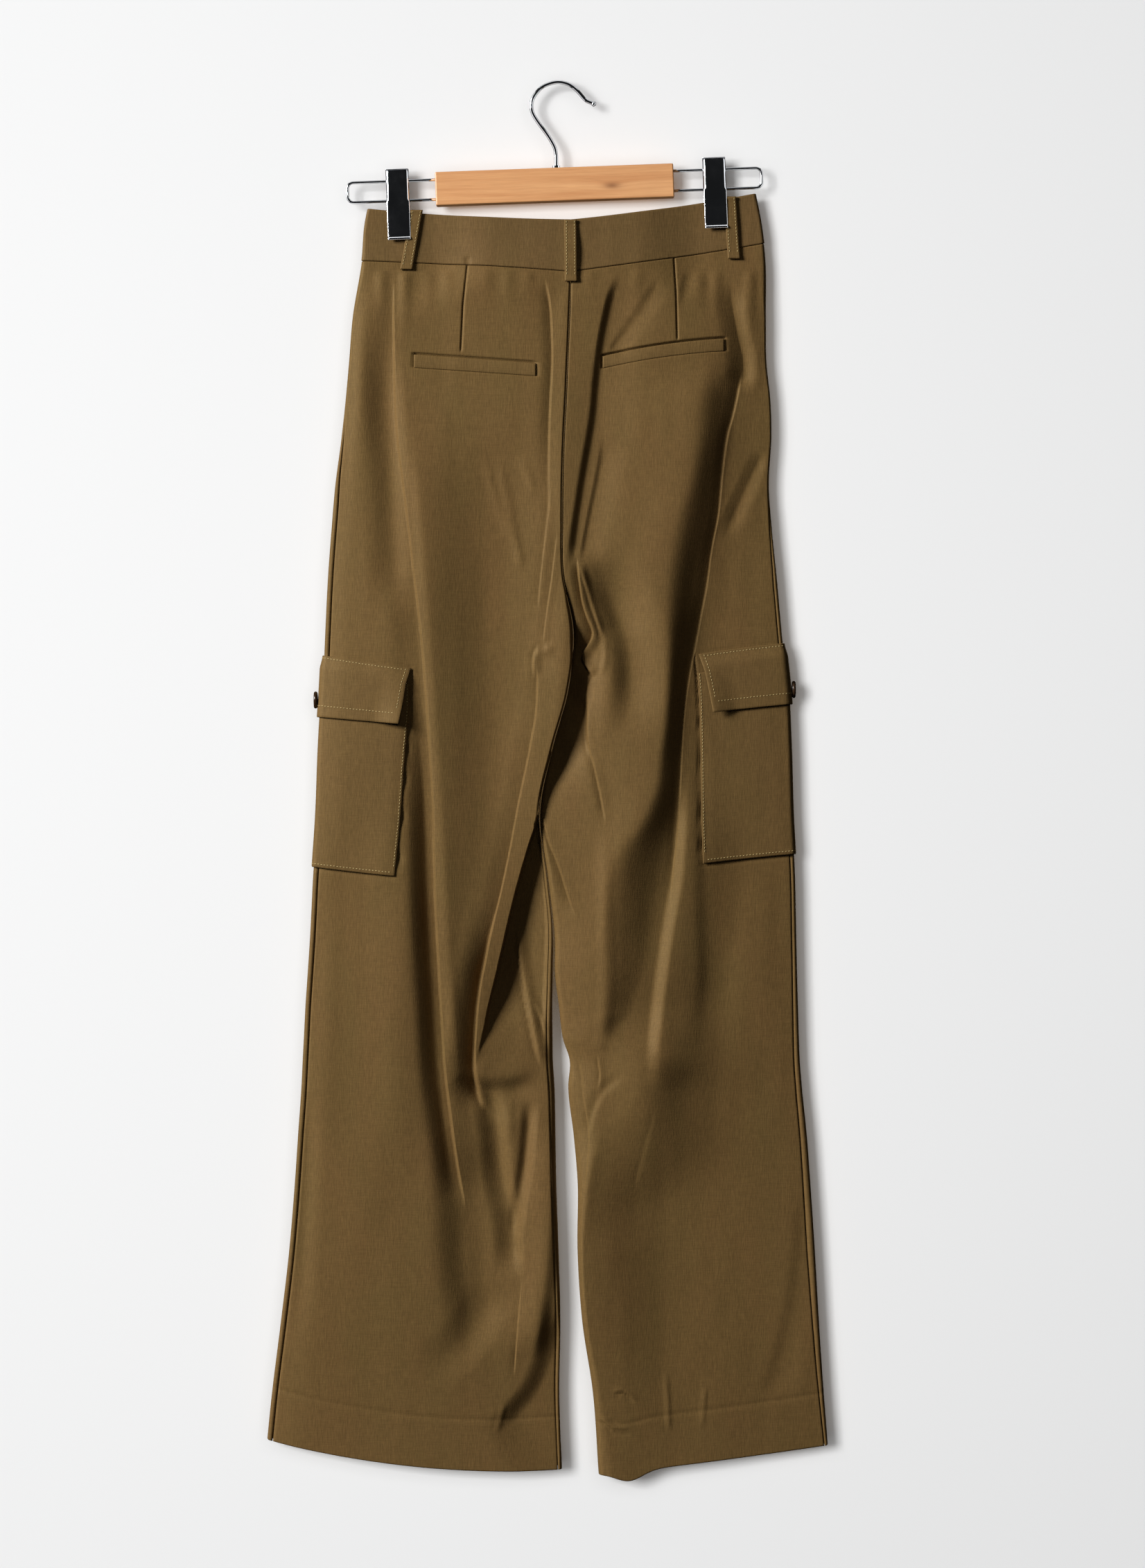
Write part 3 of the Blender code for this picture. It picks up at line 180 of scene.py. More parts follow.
# A fold's path runs down the cloth, with its crest on the right and a trough on the left of a steep
# edge, or up the cloth with the two swapped. A crest below zero with no trough is a soft hollow. The
# trough's far side is steepest at its foot, the more so the higher steep is, or eases out at 0, and
# the floor is the flat strip between that foot and the edge.
Fold = namedtuple("Fold", "name path crest crest_width trough trough_width edge start end steep floor",
                  defaults=(1.5, 0))
SEAT_FOLDS = {
    "left": [Fold(name, path, *shape) for name, shape, path in (
        ("long ridge", (0.3, 30, 2.6, 27, 1.6, 45, 110, 0, 2),
         ((-141, 165), (-141, 195), (-140.5, 230), (-140, 260), (-138, 300), (-133, 340), (-128, 380),
          (-122, 430), (-116.5, 480), (-113, 525), (-110, 570))),
        ("lower ridge", (0.4, 30, 8.5, 15, 1.6, 170, 60, 1.3, 7),
         ((-115, 490), (-113, 525), (-110, 570), (-107.5, 610), (-106, 660), (-105, 700), (-103, 740),
          (-100, 790), (-97, 840), (-92, 880), (-86, 925), (-79, 965))),
        ("shin valley", (-4.6, 78, 0, 0, 28, 46, 60),
         ((-88, 905), (-85, 950), (-81, 1000), (-74, 1050), (-66, 1090))),
        ("ridge light", (2.8, 54, 0, 0, 14, 90, 60),
         ((-124, 270), (-118, 350), (-110, 450), (-103, 550), (-97, 650), (-92, 740), (-87, 810),
          (-82, 870))),
        ("outer swell", (2.2, 30, 0, 0, 50, 120, 150),
         ((-150, 600), (-136, 760), (-142, 1000))),
        ("outer dip", (-1, 12, 0, 0, 10, 60, 60),
         ((-212, 850), (-216, 960), (-224, 1090))),
        ("side shade", (-3.6, 18, 0, 0, 24, 70, 50),
         ((-152, 205), (-147, 300), (-144, 390), (-140, 460))),
        ("seam strip", (0.2, 8, 1.9, 9, 1.6, 20, 120),
         ((-12, 167), (-7, 190), (-5.5, 215), (-5, 240), (-7, 280), (-8, 320), (-8, 360), (-7, 388))),
        ("seam swell", (1.1, 20, 0, 0, 13, 20, 40),
         ((6, 172), (5, 240), (3, 300), (1.5, 360), (1, 410))),
        ("fork swell", (2.2, 14, 0, 0, 36, 50, 60),
         ((3, 425), (3, 480), (-2, 520), (-9, 560), (-19, 600))),
        ("fork crease", (0.3, 7, 0.4, 6, 1.3, 20, 15),
         ((-7, 344), (-8.5, 365), (-13, 405), (-16, 433), (-17.5, 453))),
        ("inner fork crease", (0.3, 6, 0.4, 6, 1.3, 15, 5),
         ((-1, 384), (-5.5, 423), (-10, 454), (-13, 478))),
        ("seat crease", (1.2, 4.5, 0, 0, 6, 25, 12),
         ((-52, 318), (-46.5, 345), (-41, 372), (-31, 418))),
        ("upper seat crease", (0.8, 4.5, 0, 0, 7, 25, 15),
         ((-64, 318), (-55, 350), (-45, 380), (-39, 396))),
        ("inner seat crease", (0.7, 3.5, 0, 0, 6, 12, 12),
         ((-33, 318), (-26, 335), (-20, 356))),
        ("pleat knot", (1.2, 8, 0.6, 4, 1.8, 5, 8),
         ((-4, 481), (-11, 484), (-19, 487), (-21.5, 496), (-20.5, 509))),
        ("inner pleat", (0.6, 16, 1.7, 14, 1.3, 15, 40),
         ((-18.5, 500), (-18, 515), (-19.2, 540), (-23, 562), (-27, 583), (-34.5, 619), (-42, 659),
          (-49, 692), (-55, 717), (-60, 740))),
        ("knee pleat", (0.6, 12, 8.5, 22, 1.7, 75, 28, 1.8, 1.5),
         ((-50, 697), (-57, 725), (-62, 750), (-66, 770), (-69.3, 795), (-71, 820), (-71.8, 838),
          (-70.5, 852), (-67.5, 866), (-63, 880))),
        ("pleat cliff", (0.3, 12, 13.5, 72, 1.5, 84, 40, 0.6, 1),
         ((-72, 838), (-67.5, 822), (-64, 806), (-60, 785), (-53, 757), (-43.5, 715), (-34, 678),
          (-24, 643), (-17, 615), (-12, 595), (-4, 561), (2, 540), (8, 515), (12, 480))),
        ("hidden ridge", (2.4, 10, 1, 6, 2.5, 20, 20),
         ((-37, 722), (-32, 760), (-28, 780), (-24, 800), (-20, 820), (-14, 843))),
        ("hidden ripple", (0.7, 5, 0.6, 5, 1.8, 10, 10),
         ((-23, 783), (-16, 797), (-11, 815))),
        ("pouch bottom", (1.2, 22, 3, 26, 14, 16, 26, 1, 1),
         ((-77, 840), (-71, 846), (-60, 849), (-45, 849), (-30, 845), (-16, 840))),
        ("knee crease", (0.3, 6, 0.9, 6, 1.8, 8, 12),
         ((-76, 857), (-66, 869), (-55, 887))),
        ("left shin arm", (0.4, 15, 5, 18, 11, 30, 30, 0),
         ((-52, 850), (-46, 875), (-42, 900), (-40, 925), (-36.5, 947), (-32, 962), (-30, 978),
          (-28.5, 1004), (-28, 1024))),
        ("right shin arm", (0.6, 18, 3, 8, 9, 22, 24, 0),
         ((-15, 868), (-17, 886), (-20, 922), (-23, 941), (-26, 960), (-29, 990))),
        ("shin ridge", (3.4, 12, 0, 0, 24, 50, 30),
         ((-7, 880), (-8, 920), (-9, 965), (-11, 1000), (-14, 1030), (-19, 1060), (-24, 1095))),
        ("shin line", (0.3, 10, 0.7, 6, 1.2, 30, 15),
         ((-31, 1020), (-34.5, 1060), (-38, 1108))),
        ("shin crease", (0.6, 4, 0, 0, 4, 12, 8),
         ((-41, 866), (-42, 885), (-44, 909))),
        ("shin slack", (-2.6, 24, 0, 0, 26, 30, 40),
         ((-50, 1025), (-76, 1070), (-116, 1110))),
        ("hem fall", (-5.4, 110, 0, 0, 19, 40, 34),
         ((4, 1035), (2, 1060), (-3, 1082), (-8, 1100), (-17, 1120), (-30, 1137), (-44, 1150), (-60, 1160))),
        ("hem notch", (0.6, 4, 0, 0, 5, 8, 14),
         ((-46, 1128), (-50, 1142), (-54, 1158))))],
    "right": [Fold(name, path, *shape) for name, shape, path in (
        ("hip groove", (-3.6, 44, 0, 0, 7.5, 26, 26),
         ((55, 165), (47.5, 182), (43, 200), (39, 220), (36.2, 240), (34, 260), (32.3, 280), (29.5, 300),
          (26, 320), (22.5, 340), (19.5, 360), (16.5, 380), (14, 400), (13, 418))),
        ("hip edge", (-1.5, 22, 0, 0, 5, 26, 18),
         ((39, 300), (37.5, 320), (34, 340), (30, 360), (26, 380), (22.5, 400), (21, 414))),
        ("hip crease", (-1.3, 16, 0, 0, 4, 12, 10),
         ((86, 168), (77, 183), (67, 198), (58, 211), (50, 222), (43, 233))),
        ("waist dimple", (-0.9, 8, 0, 0, 6, 10, 16),
         ((112, 160), (108, 176), (104, 196))),
        ("outer pinch", (0.2, 10, 3.4, 15, 13, 24, 16, 1.3),
         ((158, 166), (161, 190), (165, 212), (169.5, 232), (170, 250), (166, 268))),
        ("outer line", (0.5, 20, 1.3, 8, 1.3, 20, 40),
         ((157.5, 246), (150, 282), (144.5, 302), (140.5, 330), (137, 368), (131, 400), (127, 430),
          (122, 456), (116.5, 485), (111.5, 510), (107.5, 540), (105.5, 570), (104, 600), (101.5, 640),
          (98, 675), (95, 706))),
        ("thigh crest", (6.4, 54, 0, 0, 13, 60, 62),
         ((112, 590), (110, 640), (107, 680), (100, 720), (94, 760), (89, 800), (86, 835), (86, 864))),
        ("knee fall", (6, 60, 0, 0, 56, 60, 76),
         ((86, 785), (84, 830), (82, 870), (88, 910), (96, 960))),
        ("pocket shade", (-1.5, 40, 0, 0, 13, 70, 60),
         ((126, 570), (127, 680), (128, 750), (126, 830))),
        ("outer dip", (0.2, 12, 1.7, 9, 12, 14, 24, 1.2),
         ((186, 320), (178, 335), (170, 352), (163, 368), (155, 386), (149, 400))),
        ("fork lip", (2.6, 9, 2.4, 7, 1.2, 14, 6),
         ((15.5, 408), (17.5, 425), (20.5, 445), (25, 459), (28.5, 467), (29, 474), (26, 480), (21, 487),
          (19.8, 493), (24, 501), (30, 508))),
        ("fork facet", (1.2, 5, 0.5, 4, 1.8, 18, 8),
         ((17, 412), (23.6, 432), (28.2, 448), (34.3, 466), (37.4, 478), (38, 494), (35, 507))),
        ("fork hollow", (-7, 36, 0, 0, 20, 62, 60),
         ((31, 395), (38, 418), (46, 440), (54, 460), (60, 480), (62, 500), (62, 520), (60, 545),
          (56, 568))),
        ("crease foot", (0.2, 6, 3.2, 17, 4, 14, 24, 0),
         ((25, 522), (25, 545), (25.5, 562), (28, 582))),
        ("inner crease", (0.5, 9, 1.4, 6, 1.2, 6, 12),
         ((29, 507), (24.2, 520), (24, 540), (24.2, 556), (27, 572), (30, 583), (36, 610), (40, 632))),
        ("thigh ridge", (0.8, 10, 0, 0, 10, 40, 8),
         ((39, 628), (38.5, 650), (38, 680), (40, 726), (41, 765), (40, 790), (37, 812), (34, 830))),
        ("inner line", (0.6, 12, 2.4, 9, 1.3, 12, 22),
         ((-15, 628), (-8, 649), (0, 669), (6, 688), (10, 700), (15, 713))),
        ("knee line", (0.5, 12, 0.5, 5, 1.2, 12, 25),
         ((4, 813), (12, 827), (19, 842), (22, 870), (26, 900), (24, 930), (20, 962))),
        ("knee point", (0.5, 6, 0.6, 4, 1.4, 6, 8),
         ((33, 831), (35.5, 848), (33, 862))),
        ("knee fork", (0.2, 8, 1, 8, 5, 14, 14),
         ((58, 852), (46, 860), (37, 870), (31, 885), (27, 903))),
        ("knee side", (0.1, 6, 0.3, 5, 2.5, 16, 16),
         ((84, 876), (79, 895), (72, 922), (65, 948))),
        ("side shade", (-1.2, 24, 0, 0, 12, 34, 24),
         ((211, 945), (208, 1000), (201, 1050), (190, 1095), (177, 1130))),
        ("hem crease", (0.6, 5, 0.9, 5, 1.6, 6, 8),
         ((45, 1119), (56, 1119), (67, 1128))),
        ("hem crease low", (0.7, 5, 0.9, 6, 1.6, 6, 8),
         ((35, 1141), (47, 1150), (63, 1152))),
        ("hem pucker", (0.7, 3, 0, 0, 5, 14, 8),
         ((91, 1100), (93, 1128), (94, 1153))),
        ("hem pucker outer", (0.6, 3, 0, 0, 5, 14, 8),
         ((125, 1112), (124, 1130), (122, 1153))))],
}

# Puckers of the waist seam, a short soft ridge under each: where it stands, its length and height
Pucker = namedtuple("Pucker", "x length height")
PUCKERS = {
    "left": (Pucker(-152, 60, 1.2), Pucker(-132, 75, 1.6), Pucker(-112, 50, 1), Pucker(-96, 42, 0.9),
             Pucker(-62, 38, 0.6), Pucker(-44, 46, 0.8), Pucker(-27, 36, 0.7)),
    "right": (Pucker(26, 34, 0.6), Pucker(66, 36, 0.7), Pucker(120, 44, 1.2), Pucker(134, 52, 1),
              Pucker(163, 70, 1.2)),
}
PUCKER_WIDTH = 8
PUCKER_DROP = 158          # the puckers start here, just under the waist seam, and rise this soon
PUCKER_RISE = 9
DARTS = {"left": ((-78, 150), (-82, 190), (-84, 231)), "right": ((98, 146), (100, 180), (101, 221))}
SEAT_WAVES = ((0.5, 34, 95, 3), (0.16, 11, 42, 5))      # small unevenness: height, width, length, seed
DART_DIP = 1.3
DART_WIDTH = 0.8

# Lines down each back panel that its columns of points follow, from the side to the centre, so
# that the sharp folds and the dart fall on mesh edges
Lines = namedtuple("Lines", "drop outer dart pleat inner")
GUIDES = {
    "left": [Lines(*row) for row in (
        (150, -141, -78, -13, 3), (195, -140, -82, -6.5, 2), (240, -137.5, -84, -5, 1.2),
        (300, -134, -82, -7.5, -1), (380, -127.5, -80, -8, -1), (405, -125, -80, -13, -3.3),
        (433, -122, -80, -16, -7), (454, -121, -79, -17.5, -10), (478, -119, -78, -19.5, -12.5),
        (497, -118, -78, -20, -9), (515, -117, -77, -18, -8), (540, -115.5, -77, -19.2, -8),
        (583, -112, -76, -27, -14), (619, -109.5, -76, -34.5, -19.5), (643, -108, -76, -39, -24),
        (678, -106.5, -76, -46, -33), (715, -104.5, -80, -54.5, -42), (757, -102, -84, -63.5, -52),
        (785, -100.5, -86, -68.5, -60), (806, -99, -87, -71.5, -66), (832, -97.5, -86, -74.5, -68),
        (850, -96, -85, -76, -50), (870, -93.5, -84, -73, -34), (890, -91, -80, -68, -25.5),
        (925, -86, -73, -58, -28.5), (955, -81.5, -68, -48, -29), (985, -81, -66, -41, -29),
        (1030, -84, -66, -44, -32.5), (1105, -90, -69, -50, -38), (1190, -96, -74, -56, -42))],
    "right": [Lines(*row) for row in (
        (140, 144, 98, 62, 34), (165, 145.2, 99, 55, 40), (182, 147, 100, 46, 36),
        (202, 150, 100.5, 40, 33), (222, 155, 101, 37.5, 32), (240, 157.5, 98, 36.5, 31.5),
        (262, 156, 95, 35.5, 30), (302, 147, 90, 33, 25.5), (342, 141, 84, 29, 20),
        (376, 135.5, 80, 23, 14.5), (405, 130, 76, 18.5, 11), (430, 127, 72, 18.5, 10.5),
        (450, 123.5, 66, 22, 14), (466, 120.5, 62, 28, 18), (475, 119, 61, 29, 18),
        (486, 116.5, 60, 22, 15), (494, 114.5, 60, 20.5, 14), (506, 112, 60, 28.5, 14.5),
        (520, 109.5, 60, 24.5, 14), (556, 106, 60, 24.2, 8), (583, 104.8, 62, 30, 2),
        (612, 103.3, 66, 36.5, -7), (632, 102, 68, 39.7, -10), (650, 100.5, 68, 38.5, -7),
        (669, 98.5, 68, 38, 0), (688, 97, 68, 38.3, 6), (713, 96, 68, 39.3, 14), (765, 96, 68, 41, 17),
        (800, 96, 66, 39, 13), (828, 95, 62, 34, 14), (842, 94, 60, 35, 19), (870, 92, 60, 37, 22),
        (900, 92, 60, 40, 26), (930, 93, 62, 42, 24), (960, 96, 63, 42, 20.5), (1060, 110, 78, 52, 30),
        (1190, 150, 96, 68, 48))],
}
PANEL_COLUMNS = {"left": (36, 34, 38, 22, 36), "right": (50, 34, 34, 28, 20)}
LINE_CROWDING = 0.72       # 0 spaces the columns evenly between two lines, 1 crowds them to the lines

# Rows across a half: the drop at the side fold and at the inner edge, and how far the middle hangs
# below the straight line between them. step is the spacing of the rows down to the next level, and
# crowd says how far they are drawn to both levels.
Level = namedtuple("Level", "name left_side left_bow right_side right_bow inner_left inner_right step crowd")
LEVELS = (
    Level("band_top", 107, 2, 94, 1.8, 117, 117, 2, 0.6),
    Level("waist_seam", 152, -1, 137, 1, 162, 162, 2.5, 0.7),
    Level("welt_top", 228, 0, 217, -5.5, 242, 241, 0.9, 0.2),
    Level("welt_bottom", 240.5, 0, 229, -5.5, 254, 252.5, 1.1, 0),
    Level("under_welt", 249, 0, 238, -5, 262, 261, 2.6, 0),
    Level("crotch", 452, 0, 446, 0, 470, 470, 2.6, 0),
    Level("flap_top", 490, 3.5, 479.5, -3.5, 512, 512, 2.5, 0),
    Level("pocket_top", 505, 2.5, 495, -2.5, 527, 527, 2.6, 0),
    Level("flap_bottom", 543, 1, 532, -1.5, 557, 557, 2.6, 0.5),
    Level("pocket_bottom", 671, 2, 660, -2.5, 688, 688, 2.6, 0.3),
    Level("knee", 785, 4, 775, 0, 800, 800, 2.6, 0.6),
    Level("hem_line", 1116, 11, 1121, 2, 1141, 1145, 2.2, 0.7),
    Level("hem", 1161, 9.5, 1166, 1, 1186, 1190, 0, 0),
)
LEVEL = {level.name: number for number, level in enumerate(LEVELS)}

CLOTH = 1
SEAM_GAP = 0.3
LEG_GAP = 0.5
LEG_GAP_BLEND = 40
OVERHANG = 1.4             # below the crotch the left leg's folded edge hangs over the gap this far
OVERHANG_ROLL = 1.5        # its very edge turns back over this width
OVERHANG_FLAT = 2          # and the overhang fades out between these distances from it
OVERHANG_REACH = 12
OVERHANG_DROPS = (474, 760)       # it starts and ends at these drops, gently over these lengths
OVERHANG_FADES = (25, 60)
SIDE_SEAM_DIP = 0.45       # the panels sink this far into their seams
CENTRE_SEAM_DIPS = ((440, 1.8), (462, 0), (640, 0), (700, 0.5))   # drop and depth
HEM_DIP = 0.35             # the row of blind stitches draws the cloth in this far
HEM_DIP_WIDTH = 2.2
HEM_POINT = (60, 16, 8)    # x, half width and fall of the right hem's lowest corner
HEM_POINT_DROPS = (1115, 1180)
POCKET_SHARES = (0, 0.45, 1)      # down a cargo pocket: its top, middle and bottom, and its reach there
POCKET_REACH = {"left": (74, 75, 70), "right": (75, 75.8, 78.6)}
WELT_ENDS = {"left": (-125, -19), "right": (36, 142)}
POCKET_DIP = 1.6           # the stitching sinks the cloth beside the pockets' edges
WELT_SINK = 1.4            # the welts lie in the cloth, and their mouths are open slits above them
WELT_SLIT = 1.8
WELT_END = 0.8
WELT_BLEND = 0.8
WELT_PAST = (0.5, 0.2)     # the sunk cloth reaches this far past the welt's top and bottom
POCKET_CLEAR = 1           # the sunk lines lie this far outside the edges of the pocket and its flap
FLAP_CLEAR = 0.9
LINE_WIDTH = 0.7           # half width of all the sunk lines


def soft_step(value):
    """0 below 0, 1 above 1, and a smooth rise between."""
    value = np.clip(value, 0.0, 1.0)
    return value * value * (3.0 - 2.0 * value)


def curve_between(t, span, start, end, start_slope, end_slope):
    """A smooth curve from start to end, with the given slopes there, at shares t of the span."""
    rest = 1 - t
    return ((1 + 2 * t) * rest ** 2 * start + t * rest ** 2 * span * start_slope
            + t * t * (3 - 2 * t) * end + t * t * (t - 1) * span * end_slope)


def read_table(table, column, drop):
    """A column of a table at any drop, on a smooth curve through its rows."""
    drops = np.array([row.drop for row in table], dtype=float)
    values = np.array([getattr(row, column) for row in table], dtype=float)
    slopes = np.gradient(values, drops)
    drop = np.clip(drop, drops[0], drops[-1])
    low = np.clip(np.searchsorted(drops, drop) - 1, 0, len(drops) - 2)
    span = drops[low + 1] - drops[low]
    t = (drop - drops[low]) / span
    return curve_between(t, span, values[low], values[low + 1], slopes[low], slopes[low + 1])


def smooth_path(points, steps=6):
    """Points on a Catmull-Rom curve through the given ones."""
    points = np.array(points, dtype=float)
    padded = np.vstack([2 * points[0] - points[1], points, 2 * points[-1] - points[-2]])
    path = []
    for before, here, after, beyond in zip(padded, padded[1:], padded[2:], padded[3:]):
        for t in np.arange(steps) / steps:
            path.append(0.5 * (2 * here + (after - before) * t
                               + (2 * before - 5 * here + 4 * after - beyond) * t ** 2
                               + (3 * here - before - 3 * after + beyond) * t ** 3))
    path.append(points[-1])
    return np.array(path)


def beside_path(path, x, drop):
    """Signed distance from a path, positive on the right of one that runs down, and how far along."""
    nearest = np.full(x.shape, np.inf)
    offset = np.zeros(x.shape)
    along = np.zeros(x.shape)
    travelled = 0.0
    for (x0, drop0), (x1, drop1) in zip(path, path[1:]):
        run, fall = x1 - x0, drop1 - drop0
        length = math.hypot(run, fall)
        t = np.clip(((x - x0) * run + (drop - drop0) * fall) / length ** 2, 0.0, 1.0)
        away_x = x - x0 - t * run
        away_drop = drop - drop0 - t * fall
        distance = np.hypot(away_x, away_drop)
        closer = distance < nearest
        nearest = np.where(closer, distance, nearest)
        offset = np.where(closer, distance * np.sign(away_x * fall - away_drop * run), offset)
        along = np.where(closer, travelled + t * length, along)
        travelled += length
    return offset, along, travelled


def fold_lift(fold, x, drop):
    """How far one fold lifts the cloth at each point."""
    path = smooth_path(fold.path)
    reach = fold.edge + fold.floor + max(fold.crest_width, fold.trough_width)
    near = ((x > path[:, 0].min() - reach) & (x < path[:, 0].max() + reach)
            & (drop > path[:, 1].min() - reach) & (drop < path[:, 1].max() + reach))
    lift = np.zeros(x.shape)
    if not near.any():
        return lift
    offset, along, length = beside_path(path, x[near], drop[near])
    across = soft_step((offset + fold.edge) / fold.edge)
    high = fold.crest * soft_step(1.0 - offset / fold.crest_width)
    low = 0.0
    if fold.trough:
        share = np.clip(1.0 + (offset + fold.edge + fold.floor) / fold.trough_width, 0.0, 1.0)
        low = -fold.trough * (share ** fold.steep if fold.steep else soft_step(share))
    ends = soft_step(along / fold.start) * soft_step((length - along) / fold.end)
    lift[near] = (low * (1.0 - across) + high * across) * ends
    return lift


def soft_noise(x, drop, cell_x, cell_drop, seed):
    """Smooth random waves between -1 and 1, with cells of the given size."""
    cells = 64
    lattice = np.random.default_rng(seed).uniform(-1.0, 1.0, (cells, cells))
    u, v = x / cell_x + cells / 2, drop / cell_drop
    column, row = np.floor(u).astype(int), np.floor(v).astype(int)
    s, t = soft_step(u - column), soft_step(v - row)

    def along(row):
        """The waves on one row of the lattice."""
        here, there = lattice[row % cells, column % cells], lattice[row % cells, (column + 1) % cells]
        return here * (1 - s) + there * s

    return along(row) * (1 - t) + along(row + 1) * t


def round_edge(from_edge, radius):
    """Share of the full edge depth that a quarter-round has reached."""
    rest = 1.0 - np.clip(from_edge / radius, 0.0, 1.0)
    return np.sqrt(1.0 - rest * rest)


def seat_details(side, x, drop):
    """The seat side's folds, waist puckers, dart and small unevenness."""
    lift = 0.0
    for height, *cells_and_seed in SEAT_WAVES:
        lift = lift + height * soft_noise(x, drop, *cells_and_seed)
    for fold in SEAT_FOLDS[side]:
        lift = lift + fold_lift(fold, x, drop)
    for pucker in PUCKERS[side]:
        below = drop - PUCKER_DROP
        ends = soft_step(below / PUCKER_RISE) * soft_step(1 - below / pucker.length)
        lift = lift + pucker.height * soft_step(1.0 - np.abs(x - pucker.x) / PUCKER_WIDTH) * ends
    offset, along, length = beside_path(np.array(DARTS[side], dtype=float), x, drop)
    dart = np.exp(-(offset / DART_WIDTH) ** 2) * soft_step((length - along) / 2.0)
    return lift - DART_DIP * dart


def seat_relief(side, x, drop):
    """Depth of the seat side before its folds, on a curve without overshoot through the relief's rows."""
    toward_centre = TOWARD_CENTRE[side]
    table = RELIEF[side]
    side_x = read_table(OUTLINE, side + "_side", drop)
    places = [side_x] + [read_table(table, name + "_x", drop) for name in ("outer", "middle", "centre")]
    places.append(read_table(OUTLINE, side + "_inner", drop))
    places = [toward_centre * (place - side_x) for place in places]
    depths = [read_table(table, name, drop) for name in ("edge", "outer", "middle", "centre", "inner")]
    spans = [np.maximum(after - before, 1.0) for before, after in zip(places, places[1:])]
    rises = [(after - before) / span for before, after, span in zip(depths, depths[1:], spans)]
    slopes = [rises[0]]
    for before, after in zip(rises, rises[1:]):
        product = before * after
        total = np.where(product > 0, before + after, 1.0)
        slopes.append(np.where(product > 0, 2 * product / total, 0.0))
    slopes.append(rises[-1])
    depth = depths[0]
    for place, span, *ends in zip(places, spans, depths, depths[1:], slopes, slopes[1:]):
        t = (toward_centre * (x - side_x) - place) / span
        depth = np.where(t > 0, curve_between(np.clip(t, 0.0, 1.0), span, *ends), depth)
    return depth


def wall_depth(side, face, x, drop):
    """Depth of a face of one half of the garment at points x, drop."""
    from_side = TOWARD_CENTRE[side] * (x - read_table(OUTLINE, side + "_side", drop))
    from_inner = TOWARD_CENTRE[side] * (read_table(OUTLINE, side + "_inner", drop) - x)
    edge_depth = read_table(SECTIONS, "edge_depth", drop)
    edge_radius = read_table(SECTIONS, "edge_radius", drop)
    inner_blend = read_table(INNER_EDGES, side + "_blend", drop)
    parted = soft_step((drop - PINCH_START_DROP) / (CROTCH_DROP - PINCH_START_DROP))
    inner_round = 1.0 - parted * (1.0 - round_edge(from_inner, np.minimum(edge_radius, inner_blend)))
    inner_blend = 1.0 - parted * (1.0 - soft_step(from_inner / inner_blend))

    below_clips = soft_step((drop - CLIP_REACH_DROP) / (HIP_REACH_DROP - CLIP_REACH_DROP))
    reach = CLIP_REACH + (HIP_REACH - CLIP_REACH) * below_clips
    crown = soft_step((reach - np.abs(x - CENTRE_X)) / REACH_BLEND)
    bulge = crown * read_table(SECTIONS, face + "_bulge", drop) * soft_step(from_side / SIDE_BLEND)
    if face == "seat":
        relief = soft_step((drop - RELIEF_DROPS[0]) / (RELIEF_DROPS[1] - RELIEF_DROPS[0]))
        edge_radius = edge_radius + (np.minimum(edge_radius, SEAT_EDGE_RADIUS) - edge_radius) * relief
        side_round = round_edge(from_side, edge_radius)
        flat_waist = edge_depth * side_round * inner_round + bulge * inner_blend
        depth = flat_waist + (seat_relief(side, x, drop) * side_round * inner_round - flat_waist) * relief
        return depth + seat_details(side, x, drop) * soft_step(from_side / DETAIL_BLEND) * inner_blend
    height, *cells_and_seed = FLY_WAVES
    lift = bulge + height * soft_noise(x, drop, *cells_and_seed) * soft_step(from_side / SIDE_BLEND)
    for fold in FLY_FOLDS[side]:
        lift = lift + fold_lift(fold, x, drop) * soft_step(from_side / SIDE_BLEND)
    return edge_depth * round_edge(from_side, edge_radius) * inner_round + lift * inner_blend


def side_inset(side, drop):
    """How far the side seam lies in from the side fold."""
    drops, insets = zip(*SIDE_INSETS[side])
    return np.interp(drop, drops, insets)


Line = namedtuple("Line", "side_drop inner_drop bow side_x width")


def row_line(side, where):
    """Drops at both ends, bow, side x and width of the rows at fractional level numbers."""
    numbers = np.arange(len(LEVELS))
    side_drop, inner_drop, bow = (
        np.interp(where, numbers, [getattr(level, name) for level in LEVELS])
        for name in (side + "_side", "inner_" + side, side + "_bow"))
    side_x = read_table(OUTLINE, side + "_side", side_drop)
    gap = SEAM_GAP / 2 + (LEG_GAP - SEAM_GAP / 2) * soft_step((inner_drop - CROTCH_DROP) / LEG_GAP_BLEND)
    width = np.abs(read_table(OUTLINE, side + "_inner", inner_drop) - side_x) - gap
    return Line(side_drop, inner_drop, bow, side_x, width)


def upright(line):
    """The same rows, one under the other, to work on grids of points."""
    return Line(*(value.reshape(-1, 1) for value in line))


def spot(side, line, from_side):
    """x and drop of points at a distance from the side fold along rows."""
    across = from_side / line.width
    fall = (line.inner_drop - line.side_drop) * across
    drop = line.side_drop + fall + 4 * line.bow * across * (1 - across)
    x = line.side_x + TOWARD_CENTRE[side] * from_side
    if side == "right":
        low = soft_step((drop - HEM_POINT_DROPS[0]) / (HEM_POINT_DROPS[1] - HEM_POINT_DROPS[0]))
        drop = drop + HEM_POINT[2] * low * np.exp(-((x - HEM_POINT[0]) / HEM_POINT[1]) ** 2)
    return x, drop


def level_drop(side, name, from_side):
    """Drop of a level's line at distances from the side fold."""
    return spot(side, upright(row_line(side, np.array([float(LEVEL[name])]))), from_side)[1]


def line_at(distance):
    """1 on a line, fading out beside it."""
    return np.exp(-(distance / LINE_WIDTH) ** 2)


